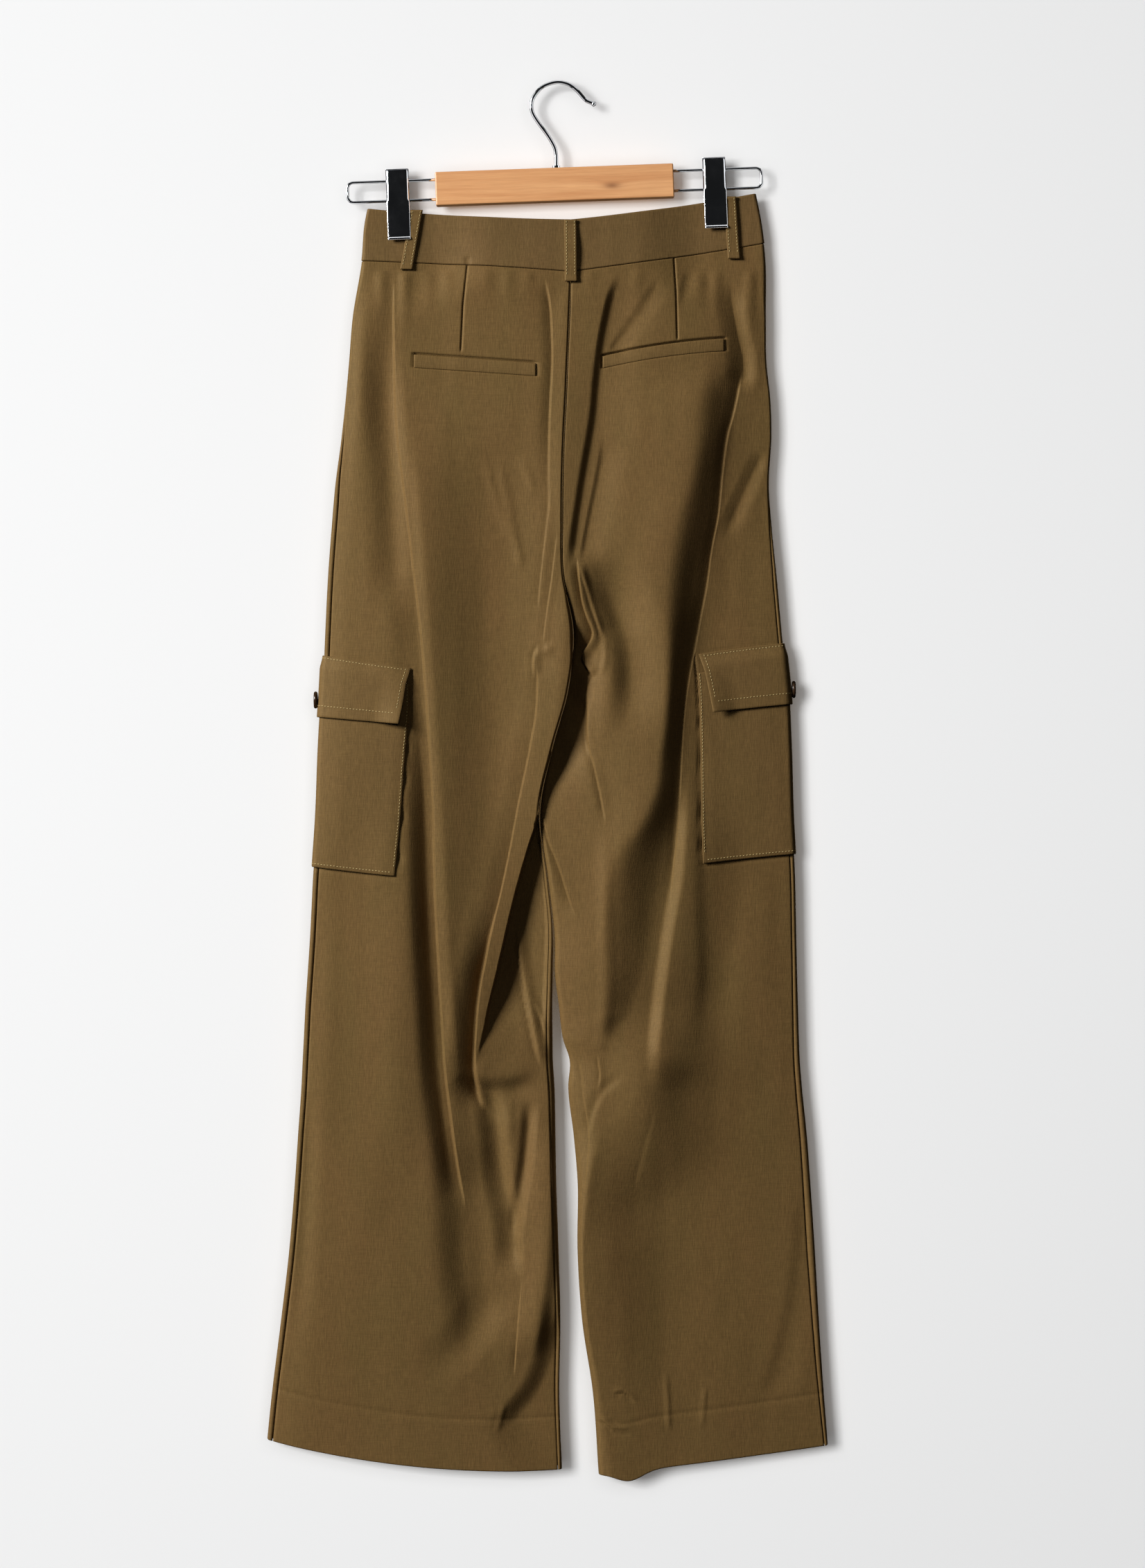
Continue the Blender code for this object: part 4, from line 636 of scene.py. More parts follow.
def pocket_reach(side, where):
    """How far a cargo pocket reaches from the side fold, at fractional level numbers."""
    share = (where - LEVEL["pocket_top"]) / (LEVEL["pocket_bottom"] - LEVEL["pocket_top"])
    return np.interp(share, POCKET_SHARES, POCKET_REACH[side])


def drawn_down(side, where, from_side, x, drop, on_seat):
    """How far seams, stitching and the pocket mouths sink the cloth at each point."""
    line = upright(row_line(side, where))
    where = where.reshape(-1, 1)
    inner_inset = read_table(INNER_EDGES, side + "_inset", line.inner_drop)
    centre_dip = np.interp(line.inner_drop, *zip(*CENTRE_SEAM_DIPS))
    seams = (SIDE_SEAM_DIP * line_at(from_side - side_inset(side, drop))
             + centre_dip * line_at(line.width - inner_inset - from_side))
    sunk = seams * (on_seat & (where > LEVEL["waist_seam"] - 0.01))
    sunk = sunk + HEM_DIP * np.exp(-((drop - level_drop(side, "hem_line", from_side)) / HEM_DIP_WIDTH) ** 2)

    reach = pocket_reach(side, where)
    beside = (where > LEVEL["flap_top"]) & (where < LEVEL["pocket_bottom"] + 0.005)
    under = from_side < reach + POCKET_CLEAR
    sunk = sunk + POCKET_DIP * line_at(from_side - reach - POCKET_CLEAR) * beside
    for name, clear in (("pocket_bottom", -POCKET_CLEAR), ("flap_top", FLAP_CLEAR)):
        sunk = sunk + POCKET_DIP * line_at(drop - level_drop(side, name, from_side) + clear) * under

    first, last = WELT_ENDS[side]
    between = soft_step((x - first) / WELT_BLEND) * soft_step((last - x) / WELT_BLEND) * on_seat
    below_top = drop - level_drop(side, "welt_top", from_side)
    above_bottom = level_drop(side, "welt_bottom", from_side) - drop
    beside = (soft_step((below_top + WELT_PAST[0]) / WELT_BLEND)
              * soft_step((above_bottom + WELT_PAST[1]) / WELT_BLEND))
    ends = (line_at(x - first) + line_at(x - last)) * on_seat
    slit = WELT_SLIT * line_at(below_top) * between
    return sunk + WELT_SINK * between * beside + slit + WELT_END * ends * beside


def surface(side, where, from_side, on_seat):
    """Points of a half's outer face as x, y, z, for distances from the side fold along rows."""
    x, drop = spot(side, upright(row_line(side, where)), from_side)
    seat = -wall_depth(side, "seat", x, drop) if on_seat.any() else 0.0
    if side == "left":
        from_inner = read_table(OUTLINE, "left_inner", drop) - x
        behind = soft_step((OVERHANG_REACH - from_inner) / (OVERHANG_REACH - OVERHANG_FLAT))
        rolled = soft_step(from_inner / OVERHANG_ROLL) * behind
        parted = (soft_step((drop - OVERHANG_DROPS[0]) / OVERHANG_FADES[0])
                  * soft_step((OVERHANG_DROPS[1] - drop) / OVERHANG_FADES[1]))
        x = x + OVERHANG * rolled * parted * on_seat
    fly = wall_depth(side, "fly", x, drop) if not on_seat.all() else 0.0
    sunk = drawn_down(side, where, from_side, x, drop, on_seat)
    return np.stack([x, np.where(on_seat, seat + sunk, fly - sunk), -drop], axis=-1)


def unit(vectors):
    """The same directions, each one long."""
    return vectors / np.linalg.norm(vectors, axis=-1, keepdims=True)


def normals_of(points, face):
    """Unit normals of a grid of points, facing out of the garment on the given face."""
    normals = unit(np.cross(np.gradient(points, axis=1), np.gradient(points, axis=0)))
    outermost = points[..., 1].argmin() if face == "seat" else points[..., 1].argmax()
    outward = normals[..., 1].flat[outermost] * (-1.0 if face == "seat" else 1.0)
    return normals * np.sign(outward)


def new_piece(name, points, faces, material):
    """A smooth-shaded piece from its points in metres and its faces."""
    mesh = bpy.data.meshes.new(name)
    mesh.from_pydata(np.asarray(points).tolist(), [], faces)
    mesh.shade_smooth()
    mesh.materials.append(material)
    piece = bpy.data.objects.new(name, mesh)
    bpy.context.scene.collection.objects.link(piece)
    return piece


def new_shell(name, outer, inner, material, thin=1):
    """A closed sheet between two grids of points. thin leaves out points of the inner one."""
    rows, columns = outer.shape[:2]
    inner = inner[::thin, ::thin]
    near = np.arange(rows * columns).reshape(rows, columns)
    far = rows * columns + np.arange(inner.shape[0] * inner.shape[1]).reshape(inner.shape[:2])

    def cells(grid):
        """The corners of each four-sided cell."""
        corners = (grid[:-1, :-1], grid[:-1, 1:], grid[1:, 1:], grid[1:, :-1])
        return np.stack(corners, axis=-1).reshape(-1, 4)

    def border(grid):
        """The rim's points, in order round it."""
        return np.concatenate([grid[0, :-1], grid[:-1, -1], grid[-1, :0:-1], grid[:0:-1, 0]])

    near_rim, far_rim = border(near), border(far)
    faces = cells(near).tolist() + cells(far)[:, ::-1].tolist()
    for number, corner in enumerate(far_rim):
        strip = near_rim[(np.arange(thin + 1) + number * thin) % len(near_rim)][::-1]
        faces.append([*strip.tolist(), int(corner), int(far_rim[(number + 1) % len(far_rim)])])
    row, column = rows // 2, columns // 2
    point = outer[row, column]
    turn = np.cross(point - outer[row, column - 1], point - outer[row - 1, column])
    if np.dot(turn, point - inner[row // thin, column // thin]) < 0:
        faces = [face[::-1] for face in faces]
    points = np.concatenate([outer.reshape(-1, 3), inner.reshape(-1, 3)])
    return new_piece(name, MM * points, faces, material)


def round_rim(outer, inner, share=0.36):
    """Bring the borders of a sheet's two faces together, so that its cut edges look rounded."""
    outer, inner = outer.copy(), inner.copy()
    for rim in (np.s_[0, :], np.s_[-1, :], np.s_[1:-1, 0], np.s_[1:-1, -1]):
        thickness = outer[rim] - inner[rim]
        outer[rim] -= share * thickness
        inner[rim] += share * thickness
    return outer, inner


def fasten(piece, slot, *nodes):
    """The piece rides with the part and stands for its solids, which it hides. slot is not used."""
    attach(piece, "root")
    if nodes:
        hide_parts(*nodes)
    return piece


def plug(material, node, sockets):
    """Give a node's input sockets their values, or links from other nodes."""
    for socket, value in sockets.items():
        if isinstance(value, bpy.types.NodeSocket):
            material.node_tree.links.new(value, node.inputs[socket])
        else:
            node.inputs[socket].default_value = value


def add_node(material, kind, sockets=None, **settings):
    """A shader node with its settings, and values or links for its input sockets."""
    made = material.node_tree.nodes.new(kind)
    for setting, value in settings.items():
        setattr(made, setting, value)
    plug(material, made, sockets or {})
    return made


def new_material(name):
    """A material and its shader."""
    material = bpy.data.materials.new(name)
    material.use_nodes = True
    return material, material.node_tree.nodes["Principled BSDF"]


def yarn_noise(material, place, scale, detail, low, high):
    """Noise stretched along the yarns, as a factor between low and high."""
    mapped = add_node(material, "ShaderNodeMapping", {"Vector": place, "Scale": scale})
    noise = add_node(material, "ShaderNodeTexNoise", {"Vector": mapped.outputs[0], "Scale": 1.0,
                                                      "Detail": detail, "Roughness": 0.6})
    return add_node(material, "ShaderNodeMapRange", {0: noise.outputs["Fac"], 1: 0.3, 2: 0.7, 3: low,
                                                     4: high}).outputs[0]


def blend_tones(material, share, first, second):
    """A colour between two, by a factor from 0 to 1. The first may come from another node."""
    first = first if isinstance(first, bpy.types.NodeSocket) else (*first, 1.0)
    return add_node(material, "ShaderNodeMix", {0: share, 6: first, 7: (*second, 1.0)},
                    data_type="RGBA").outputs[2]


def shade_by(material, tone, share):
    """A colour made lighter or darker by a factor."""
    shaded = add_node(material, "ShaderNodeVectorMath", {0: tone, "Scale": share}, operation="SCALE")
    return shaded.outputs[0]


def new_twill(name, olive, brown):
    """Dyed polyester twill: slubby upright yarns of two near tones, with a tinted satin shine."""
    material, shader = new_material(name)
    place = add_node(material, "ShaderNodeTexCoord").outputs["Object"]
    slubs = yarn_noise(material, place, (1100.0, 1100.0, 130.0), 3.0, 0.84, 1.14)
    picks = yarn_noise(material, place, (110.0, 110.0, 1500.0), 2.0, 0.92, 1.08)
    cloudy = yarn_noise(material, place, (26.0, 26.0, 9.0), 3.0, 0.0, 1.0)
    tone = blend_tones(material, cloudy, olive, brown)
    grain = add_node(material, "ShaderNodeMath", {0: slubs, 1: picks}, operation="MULTIPLY").outputs[0]
    dyed = shade_by(material, tone, grain)
    bump = add_node(material, "ShaderNodeBump", {"Height": grain, "Strength": 0.5, "Distance": 0.0005})
    plug(material, shader, {
        "Base Color": dyed, "Normal": bump.outputs[0], "Roughness": 0.55,
        "Specular IOR Level": 0.16, "Specular Tint": (1.0, 0.78, 0.45, 1.0),
        "Sheen Weight": 0.05, "Sheen Roughness": 0.4, "Sheen Tint": (0.95, 0.78, 0.45, 1.0)})
    return material


def spaced(start, end, step, crowd=0.0):
    """Values from start up to end at about the given step, crowded to both ends; end is left out."""
    count = max(2, round(abs(end - start) / step))
    t = np.arange(count) / count
    return start + (end - start) * (t - crowd * np.sin(2 * math.pi * t) / (2 * math.pi))


def panel_rows():
    """Fractional level numbers of a panel's rows, from the waist seam to the hem."""
    rows = []
    for number in range(LEVEL["waist_seam"], LEVEL["hem"]):
        level, following = LEVELS[number], LEVELS[number + 1]
        count = round((following.left_side - level.left_side) / level.step / 2) * 2
        rows.append(number + spaced(0.0, 1.0, 1.0 / count, level.crowd))
    return np.concatenate(rows + [[LEVEL["hem"]]])


def back_columns(side, rows):
    """Distances from the side fold of the back panel's columns, on every row."""
    line = row_line(side, rows)
    width = line.width - read_table(INNER_EDGES, side + "_inset", line.inner_drop)
    stops = [side_inset(side, line.side_drop)]
    for place, name in enumerate(Lines._fields[1:]):
        from_side = width / 2
        for _ in range(3):
            drop = spot(side, line, from_side)[1]
            from_side = TOWARD_CENTRE[side] * (read_table(GUIDES[side], name, drop) - line.side_x)
        stops.append(np.clip(from_side, stops[-1] + 3.0, width - 3.0 * (4 - place)))
    stops.append(width)
    columns = []
    for start, end, count in zip(stops, stops[1:], PANEL_COLUMNS[side]):
        share = spaced(0.0, 1.0, 1.0 / count, LINE_CROWDING)
        columns.append(start[:, None] + (end - start)[:, None] * share)
    return np.concatenate(columns + [stops[-1][:, None]], axis=1)


def draw_in(points, gap=SEAM_GAP / 2):
    """Pull a panel's long edges and its waist edge back from their seams."""
    points = points.copy()
    points[:, 0] += gap * unit(points[:, 1] - points[:, 0])
    points[:, -1] += gap * unit(points[:, -2] - points[:, -1])
    points[0, :, 2] -= gap
    return points


twill = new_twill("twill", (0.135, 0.082, 0.028), (0.144, 0.082, 0.029))
rows = panel_rows()
for side in ("left", "right"):
    columns = back_columns(side, rows)
    points = draw_in(surface(side, rows, columns, np.full(columns.shape, True)))
    normals = normals_of(points, "seat")
    cloth = round_rim(points, points - CLOTH * normals)
    panel = new_shell("back_panel_cloth_" + side, *cloth, twill, thin=2)
    fasten(panel, "twill", "back_panel_" + side)

# ----------------------------------------
# Front panels. The same twill, a little wider than the backs: they wrap a few millimetres round
# the folded sides and round the left leg's inner fold to meet the back panels.
FLY_STEP = 3.4
WRAP_STEPS = 8
FLY_WAVES = (0.5, 34, 95, 8)
# The fly side hangs on the same half sections, with broader and fewer folds
FLY_FOLDS = {
    "left": [Fold(name, path, *shape) for name, shape, path in (
        ("left crease", (5, 42, 0, 0, 24, 150, 90),
         ((-108, 300), (-104, 700), (-118, 1150))),
        ("left thigh trough", (1, 18, 4, 26, 5, 60, 50),
         ((-40, 480), (-66, 620), (-84, 780))),
        ("left shin trough", (-3, 26, 0, 0, 22, 80, 60),
         ((-168, 690), (-156, 900), (-160, 1120))),
        ("fork drag left", (1.5, 14, 2, 12, 4, 15, 30),
         ((-4, 440), (-30, 480), (-62, 505))))],
    "right": [Fold(name, path, *shape) for name, shape, path in (
        ("right crease", (5, 24, 0, 0, 42, 150, 90),
         ((112, 300), (106, 700), (122, 1150))),
        ("right thigh trough", (1, 18, 4, 26, 5, 50, 60),
         ((88, 780), (70, 620), (52, 480))),
        ("right shin trough", (-3, 22, 0, 0, 26, 80, 60),
         ((168, 640), (156, 880), (160, 1120))),
        ("fork drag right", (1.5, 14, 2, 12, 4, 30, 15),
         ((70, 500), (38, 478), (14, 440))))],
}


def wrap_round(inset, radius, steps):
    """Signed distances from a folded edge, from a seam on the seat side round to the fly side."""
    start = math.acos(max(-1.0, 1.0 - inset / radius)) if inset > 0 else 0.0
    angles = np.linspace(start, -math.pi / 2, steps + 1)
    return np.sign(angles) * radius * (1.0 - np.cos(angles))


def front_columns(side, rows):
    """Distances from the side fold of the front panel's columns, and which lie on the seat side."""
    line = row_line(side, rows)
    count = round(float(line.width.max()) / FLY_STEP / 2) * 2
    columns, on_seat = [], []
    for width, side_drop, inner_drop in zip(line.width, line.side_drop, line.inner_drop):
        radius = float(read_table(SECTIONS, "edge_radius", side_drop))
        inner_inset = float(read_table(INNER_EDGES, side + "_inset", inner_drop))
        near = wrap_round(float(side_inset(side, side_drop)), radius, WRAP_STEPS)
        flat = np.linspace(radius, width - radius, count + 1)[1:-1]
        far = wrap_round(inner_inset, radius, WRAP_STEPS)[::-1]
        columns.append(np.concatenate([np.abs(near), flat, width - np.abs(far)]))
        on_seat.append(np.concatenate([near > 0, flat < 0, far > 0]))
    return np.array(columns), np.array(on_seat)


for side in ("left", "right"):
    columns, on_seat = front_columns(side, rows)
    points = draw_in(surface(side, rows, columns, on_seat))
    normals = normals_of(points, "fly")
    cloth = round_rim(points, points - CLOTH * normals)
    panel = new_shell("front_panel_cloth_" + side, *cloth, twill, thin=2)
    fasten(panel, "twill", "front_panel_" + side)

# ----------------------------------------
# Waistband. A stiffened double band 44 mm high in two halves, sewn over the panels' top edges,
# joined under the centre-back loop and closed by a button at the front.
BAND_CLOTH = 2
BAND_PROUD = 0.45
BAND_FOLD_RADIUS = 2.4     # at the sides
BAND_STEP = 2.4            # spacing of its columns of points, and of the last one before a rim
RIM_STEP = 0.6


def ring_columns(reach, radius, step):
    """Signed distances from the side fold on every row, seat side positive, round to the fly side."""
    turn = np.linspace(math.pi / 2, -math.pi / 2, 15)
    round_fold = np.tile(np.sign(turn) * radius * (1.0 - np.cos(turn)), (len(reach), 1))
    shares = np.append(spaced(0.0, 1.0, step / (reach.mean() - radius)), 1.0)
    flat = radius + 0.5 + (reach - 4 * RIM_STEP - radius - 0.5)[:, None] * shares
    half = np.concatenate([flat, (reach - RIM_STEP)[:, None], reach[:, None]], axis=1)
    return np.concatenate([half[:, ::-1], round_fold, -half], axis=1)


def ring_surface(side, where, signed):
    """Points of a half round its side fold. Rows of signed distances, seat side positive."""
    x, drop = spot(side, upright(row_line(side, where)), np.abs(signed))
    depth = np.where(signed > 0, -wall_depth(side, "seat", x, drop), wall_depth(side, "fly", x, drop))
    return np.stack([x, depth, -drop], axis=-1)


band_twill = new_twill("band twill", (0.130, 0.079, 0.029), (0.136, 0.079, 0.030))
where = np.concatenate([[0.0, 0.012, 0.035], spaced(0.06, 0.95, 0.035), [0.965, 0.985, 1.0]])
for side in ("left", "right"):
    signed = ring_columns(row_line(side, where).width, BAND_FOLD_RADIUS, BAND_STEP)
    points = ring_surface(side, where, signed)
    normals = normals_of(points, "fly")
    points[-1, :, 2] += SEAM_GAP / 2
    outer = points + BAND_PROUD * normals
    cloth = round_rim(outer, outer - BAND_CLOTH * normals)
    band = new_shell("waistband_cloth_" + side, *cloth, band_twill)
    fasten(band, "twill_band", "waistband_" + side)

# ----------------------------------------
# Belt loops. Narrow strips folded from the same twill, stitched down both edges, tacked to the
# band's top edge and just under the waist seam. The clips press two of them flat.
LAY_GAP = 0.35
LOOP_WIDTH = 10.5
LOOP_CLOTH = 1.6
LOOP_TACK = 3              # the folded-under ends are this long and stand a little thicker
LOOP_TACK_RISE = 0.5
LOOP_TACK_BLEND = 1.5
LOOP_ACROSS = (-0.5, -0.46, -0.38, -0.2, 0, 0.2, 0.38, 0.46, 0.5)     # its columns, in widths
LOOP_SEAMS = (2.3, 5.7)    # the stitching runs between these columns
Loop = namedtuple("Loop", "node face top_x top_drop bottom_x bottom_drop lift")
LOOPS = (
    Loop("belt_loop_centre_back", "seat", 9.5, 117.5, 10, 171, 1.8),
    Loop("belt_loop_back_left", "seat", -122, 108.5, -131, 160, 0.3),
    Loop("belt_loop_back_right", "seat", 146, 97, 149.5, 150.5, 0.3),
    Loop("belt_loop_front_left", "fly", -56, 116.5, -57, 167, 1.8),
    Loop("belt_loop_front_right", "fly", 66, 112.5, 67, 164, 1.8),
)
STITCH_LENGTH = 2
STITCH_GAP = 0.8
THREAD_RADIUS = 0.24
# A stitch dips into the cloth at its ends: share of its length, and girth and height in thread radii
STITCH_FORM = ((0, 0.35, -0.9), (0.2, 0.85, 0.3), (0.5, 1, 0.7), (0.8, 0.85, 0.3), (1, 0.35, -0.9))


def new_thread(name, colour):
    """Spun polyester sewing thread, a little shinier than the cloth."""
    material, shader = new_material(name)
    place = add_node(material, "ShaderNodeTexCoord").outputs["Object"]
    twist = yarn_noise(material, place, (2500.0, 2500.0, 900.0), 1.0, 0.8, 1.2)
    plug(material, shader, {"Base Color": shade_by(material, colour, twist), "Roughness": 0.45})
    return material


def bead_mesh(rings, sides):
    """Faces of a closed string of rings of points, with flat ends."""
    faces = []
    for ring in range(rings - 1):
        for corner in range(sides):
            here, there = ring * sides + corner, ring * sides + (corner + 1) % sides
            faces.append((here, there, there + sides, here + sides))
    return faces + [tuple(range(sides))[::-1], tuple(range((rings - 1) * sides, rings * sides))]


def round_corners(sides):
    """Angles of a ring's corners, shaped for rings of points."""
    return np.linspace(0, 2 * math.pi, sides, endpoint=False)[None, :, None]


def new_beads(name, strings, material):
    """One mesh of closed strings of rings, each a points array of rings, sides and x, y, z."""
    points, faces = [], []
    for rings in strings:
        start = sum(len(part) for part in points)
        faces += [tuple(start + corner for corner in face) for face in bead_mesh(*rings.shape[:2])]
        points.append(rings.reshape(-1, 3))
    return new_piece(name, MM * np.concatenate(points), faces, material)


def stitches_along(line, outward):
    """Stitches along a line of points on a surface whose normals are outward."""
    share, girth, height = np.array(STITCH_FORM).T[:, :, None]
    angles = round_corners(6)
    travelled = np.concatenate([[0.0], np.cumsum(np.linalg.norm(np.diff(line, axis=0), axis=1))])
    count = int((travelled[-1] - STITCH_LENGTH) / (STITCH_LENGTH + STITCH_GAP))
    strings = []
    for number in range(count):
        at = number * (STITCH_LENGTH + STITCH_GAP) + STITCH_LENGTH * share[:, 0]
        centre = np.stack([np.interp(at, travelled, line[:, axis]) for axis in range(3)], axis=1)
        up = unit(np.stack([np.interp(at, travelled, outward[:, axis]) for axis in range(3)], axis=1))
        aside = np.cross(up, unit(centre[-1] - centre[0]))
        ring = np.cos(angles) * aside[:, None] + np.sin(angles) * up[:, None]
        middle = centre + up * (THREAD_RADIUS * height)
        strings.append(middle[:, None] + (THREAD_RADIUS * girth)[:, :, None] * ring)
    return strings


def on_grid(grid, row, column):
    """Points between the rows and columns of a grid."""
    row, column = np.broadcast_arrays(np.asarray(row, dtype=float), np.asarray(column, dtype=float))
    top = np.clip(row.astype(int), 0, grid.shape[0] - 2)
    left = np.clip(column.astype(int), 0, grid.shape[1] - 2)
    t, s = (row - top)[:, None], (column - left)[:, None]
    above = grid[top, left] * (1 - s) + grid[top, left + 1] * s
    below = grid[top + 1, left] * (1 - s) + grid[top + 1, left + 1] * s
    return above * (1 - t) + below * t


def stitch_line(over, normals, row, column):
    """Stitches along a line through a piece's own grid of points."""
    return stitches_along(on_grid(over, row, column), on_grid(normals, row, column))


def face_depth(face, x, drop):
    """Depth of the whole garment's seat or fly face, either side of the centre."""
    left = x < read_table(OUTLINE, "left_inner", drop)
    return np.where(left, wall_depth("left", face, x, drop), wall_depth("right", face, x, drop))


trim_twill = new_twill("trim twill", (0.137, 0.083, 0.029), (0.142, 0.083, 0.030))
thread = new_thread("thread", (0.52, 0.40, 0.17))
for loop in LOOPS:
    t = np.concatenate([[0.0, 0.012, 0.03], spaced(0.06, 0.95, 0.04), [0.97, 0.988, 1.0]])[:, None]
    across = LOOP_WIDTH * np.array(LOOP_ACROSS)[None, :]
    x = loop.top_x + (loop.bottom_x - loop.top_x) * t + across
    drop = loop.top_drop + (loop.bottom_drop - loop.top_drop) * t + 0.0 * across
    outward = -1.0 if loop.face == "seat" else 1.0
    length = loop.bottom_drop - loop.top_drop
    tack = soft_step((LOOP_TACK - np.minimum(t, 1 - t) * length) / LOOP_TACK_BLEND)
    lift = BAND_PROUD + LAY_GAP + loop.lift * np.sin(math.pi * t) ** 2 + 0.0 * across
    under = np.stack([x, outward * (face_depth(loop.face, x, drop) + lift), -drop], axis=-1)
    normals = normals_of(under, loop.face)
    over = under + normals * (LOOP_CLOTH + LOOP_TACK_RISE * tack + 0.0 * across)[..., None]
    strip = new_shell(loop.node + "_strip", *round_rim(over, under), trim_twill)
    fasten(strip, "twill_trim", loop.node)
    along = np.linspace(1.5, len(over) - 2.5, 40)
    strings = [stitch for column in LOOP_SEAMS for stitch in stitch_line(over, normals, along, column)]
    fasten(new_beads(loop.node + "_stitches", strings, thread), "twill_trim")

# ----------------------------------------
# Seat welts. A single folded lip 12 mm high closes each back pocket mouth, stitched round in a
# narrow frame, its two ends tacked.
WELT_CLOTH = 1.1
WELT_PROUD = 0.25
WELT_PUFF = 0.3
WELT_INSETS = (1, 0.9, 0.1)  # inside its mouth's ends, top and bottom

for side in ("left", "right"):
    first, last = WELT_ENDS[side][0] + WELT_INSETS[0], WELT_ENDS[side][1] - WELT_INSETS[0]
    x = np.concatenate([[first, first + 0.4], spaced(first + 1.2, last - 1.2, 1.5),
                        [last - 1.2, last - 0.4, last]])[None, :]
    share = np.array([0.0, 0.04, 0.12, 0.3, 0.5, 0.7, 0.88, 0.96, 1.0])[:, None]
    from_side = np.abs(x - read_table(OUTLINE, side + "_side", 235.0))
    top = level_drop(side, "welt_top", from_side) + WELT_INSETS[1]
    bottom = level_drop(side, "welt_bottom", from_side) - WELT_INSETS[2]
    drop = top + (bottom - top) * share
    x = x + 0.0 * drop
    plain = np.stack([x, -wall_depth(side, "seat", x, drop), -drop], axis=-1)
    normals = normals_of(plain, "seat")
    puff = WELT_PROUD + WELT_PUFF * np.sin(math.pi * share) + 0.0 * x
    over = plain + normals * puff[..., None]
    under = plain + normals * (WELT_PROUD - WELT_CLOTH)
    lip = new_shell("seat_welt_lip_" + side, *round_rim(over, under, 0.42), trim_twill)
    fasten(lip, "twill_trim", "seat_welt_" + side)

# ----------------------------------------
# Cargo pockets and flaps. Flat patch pockets that wrap the side seams, stitched close to their
# edges, each under a flap sewn on above it, topstitched inside its edge and free below.
PATCH_FOLD_RADIUS = 7
PATCH_STEP = 2.6
FLAP_GAP = 0.6
FLAP_REACH = {"left": (75, 67.5), "right": (72.5, 65.5)}  # at the top and at the bottom
FLAP_FLARE = 4.6           # how far the flap's free corners stand out
POCKET_PUFF = 0.5          # the pocket cloth stands this far off, inside its stitching
PUFF_BLEND = 9
FLAP_CORNER = 24           # how far from its side edges the flap starts to stand out
FLAP_RISE = 0.6            # and how far its lower edge does in between
FLAP_OVER_POCKET = 0.8     # level numbers in which it climbs onto the pocket
POCKET_SEAM = 1.7          # the stitching lies this far inside the edges at the sides
FLAP_SEAM = 4.2


def patch(name, side, where, reach, lift):
    """A closed layer over the side fold. lift gives its under face from where and distance."""
    signed = ring_columns(reach, PATCH_FOLD_RADIUS, PATCH_STEP)
    points = ring_surface(side, where, signed)
    normals = normals_of(points, "fly")
    under = points + normals * lift(where[:, None], signed, reach[:, None])[..., None]
    over = under + normals * CLOTH
    return new_shell(name, *round_rim(over, under), trim_twill), over, normals, signed


def inset_columns(signed, rows, from_edge, end):
    """Fractional columns at a distance inside one upright edge of a patch, on the given rows."""
    columns = []
    for row in rows:
        line = signed[int(row)] if end == "seat" else -signed[int(row)]
        order = np.argsort(line)
        columns.append(np.interp(line.max() - from_edge, line[order], order))
    return columns


pocket_rows = np.concatenate([[0.0, 0.004, 0.012], spaced(0.03, 0.975, 0.016), [0.988, 0.996, 1.0]])
flap_rows = np.concatenate([[0.0, 0.01, 0.03], spaced(0.06, 0.94, 0.045), [0.97, 0.99, 1.0]])
for side in ("left", "right"):
    where = LEVEL["pocket_top"] + (LEVEL["pocket_bottom"] - LEVEL["pocket_top"]) * pocket_rows
    reach = pocket_reach(side, where)

    def pocket_lift(where, signed, reach):
        """A pocket lies flat at its stitching and puffs out inside."""
        return LAY_GAP + POCKET_PUFF * soft_step((reach - np.abs(signed)) / PUFF_BLEND)

    pocket, over, normals, signed = patch("cargo_pocket_cloth_" + side, side, where, reach, pocket_lift)
    fasten(pocket, "twill_trim", "cargo_pocket_" + side)
    down = np.linspace(1.0, len(over) - 3.2, 120)
    strings = []
    for end in ("seat", "fly"):
        strings += stitch_line(over, normals, down, inset_columns(signed, down, POCKET_SEAM, end))
    strings += stitch_line(over, normals, len(over) - 3.0, np.linspace(2.6, over.shape[1] - 3.6, 200))
    fasten(new_beads("cargo_pocket_stitches_" + side, strings, thread), "twill_trim")

    where = LEVEL["flap_top"] + (LEVEL["flap_bottom"] - LEVEL["flap_top"]) * flap_rows
    reach = np.interp(flap_rows, (0.0, 1.0), FLAP_REACH[side])

    def flap_lift(where, signed, reach):
        """A flap climbs onto its pocket and stands out below, most at its corners."""
        over_pocket = soft_step((where - LEVEL["flap_top"]) / FLAP_OVER_POCKET)
        free = (where - LEVEL["flap_top"]) / (LEVEL["flap_bottom"] - LEVEL["flap_top"])
        corner = soft_step((np.abs(signed) - reach + FLAP_CORNER) / FLAP_CORNER)
        layers = (LAY_GAP + POCKET_PUFF + CLOTH) * over_pocket
        return FLAP_GAP + layers + free ** 2 * (FLAP_RISE + FLAP_FLARE * corner)

    flap, over, normals, signed = patch("cargo_flap_cloth_" + side, side, where, reach, flap_lift)
    fasten(flap, "twill_trim", "cargo_flap_" + side)
    down = np.linspace(2.0, len(over) - 4.6, 60)
    strings = []
    for end in ("seat", "fly"):
        strings += stitch_line(over, normals, down, inset_columns(signed, down, FLAP_SEAM, end))
    for row in (3.2, len(over) - 4.6):
        strings += stitch_line(over, normals, row, np.linspace(3.6, over.shape[1] - 4.6, 200))
    fasten(new_beads("cargo_flap_stitches_" + side, strings, thread), "twill_trim")

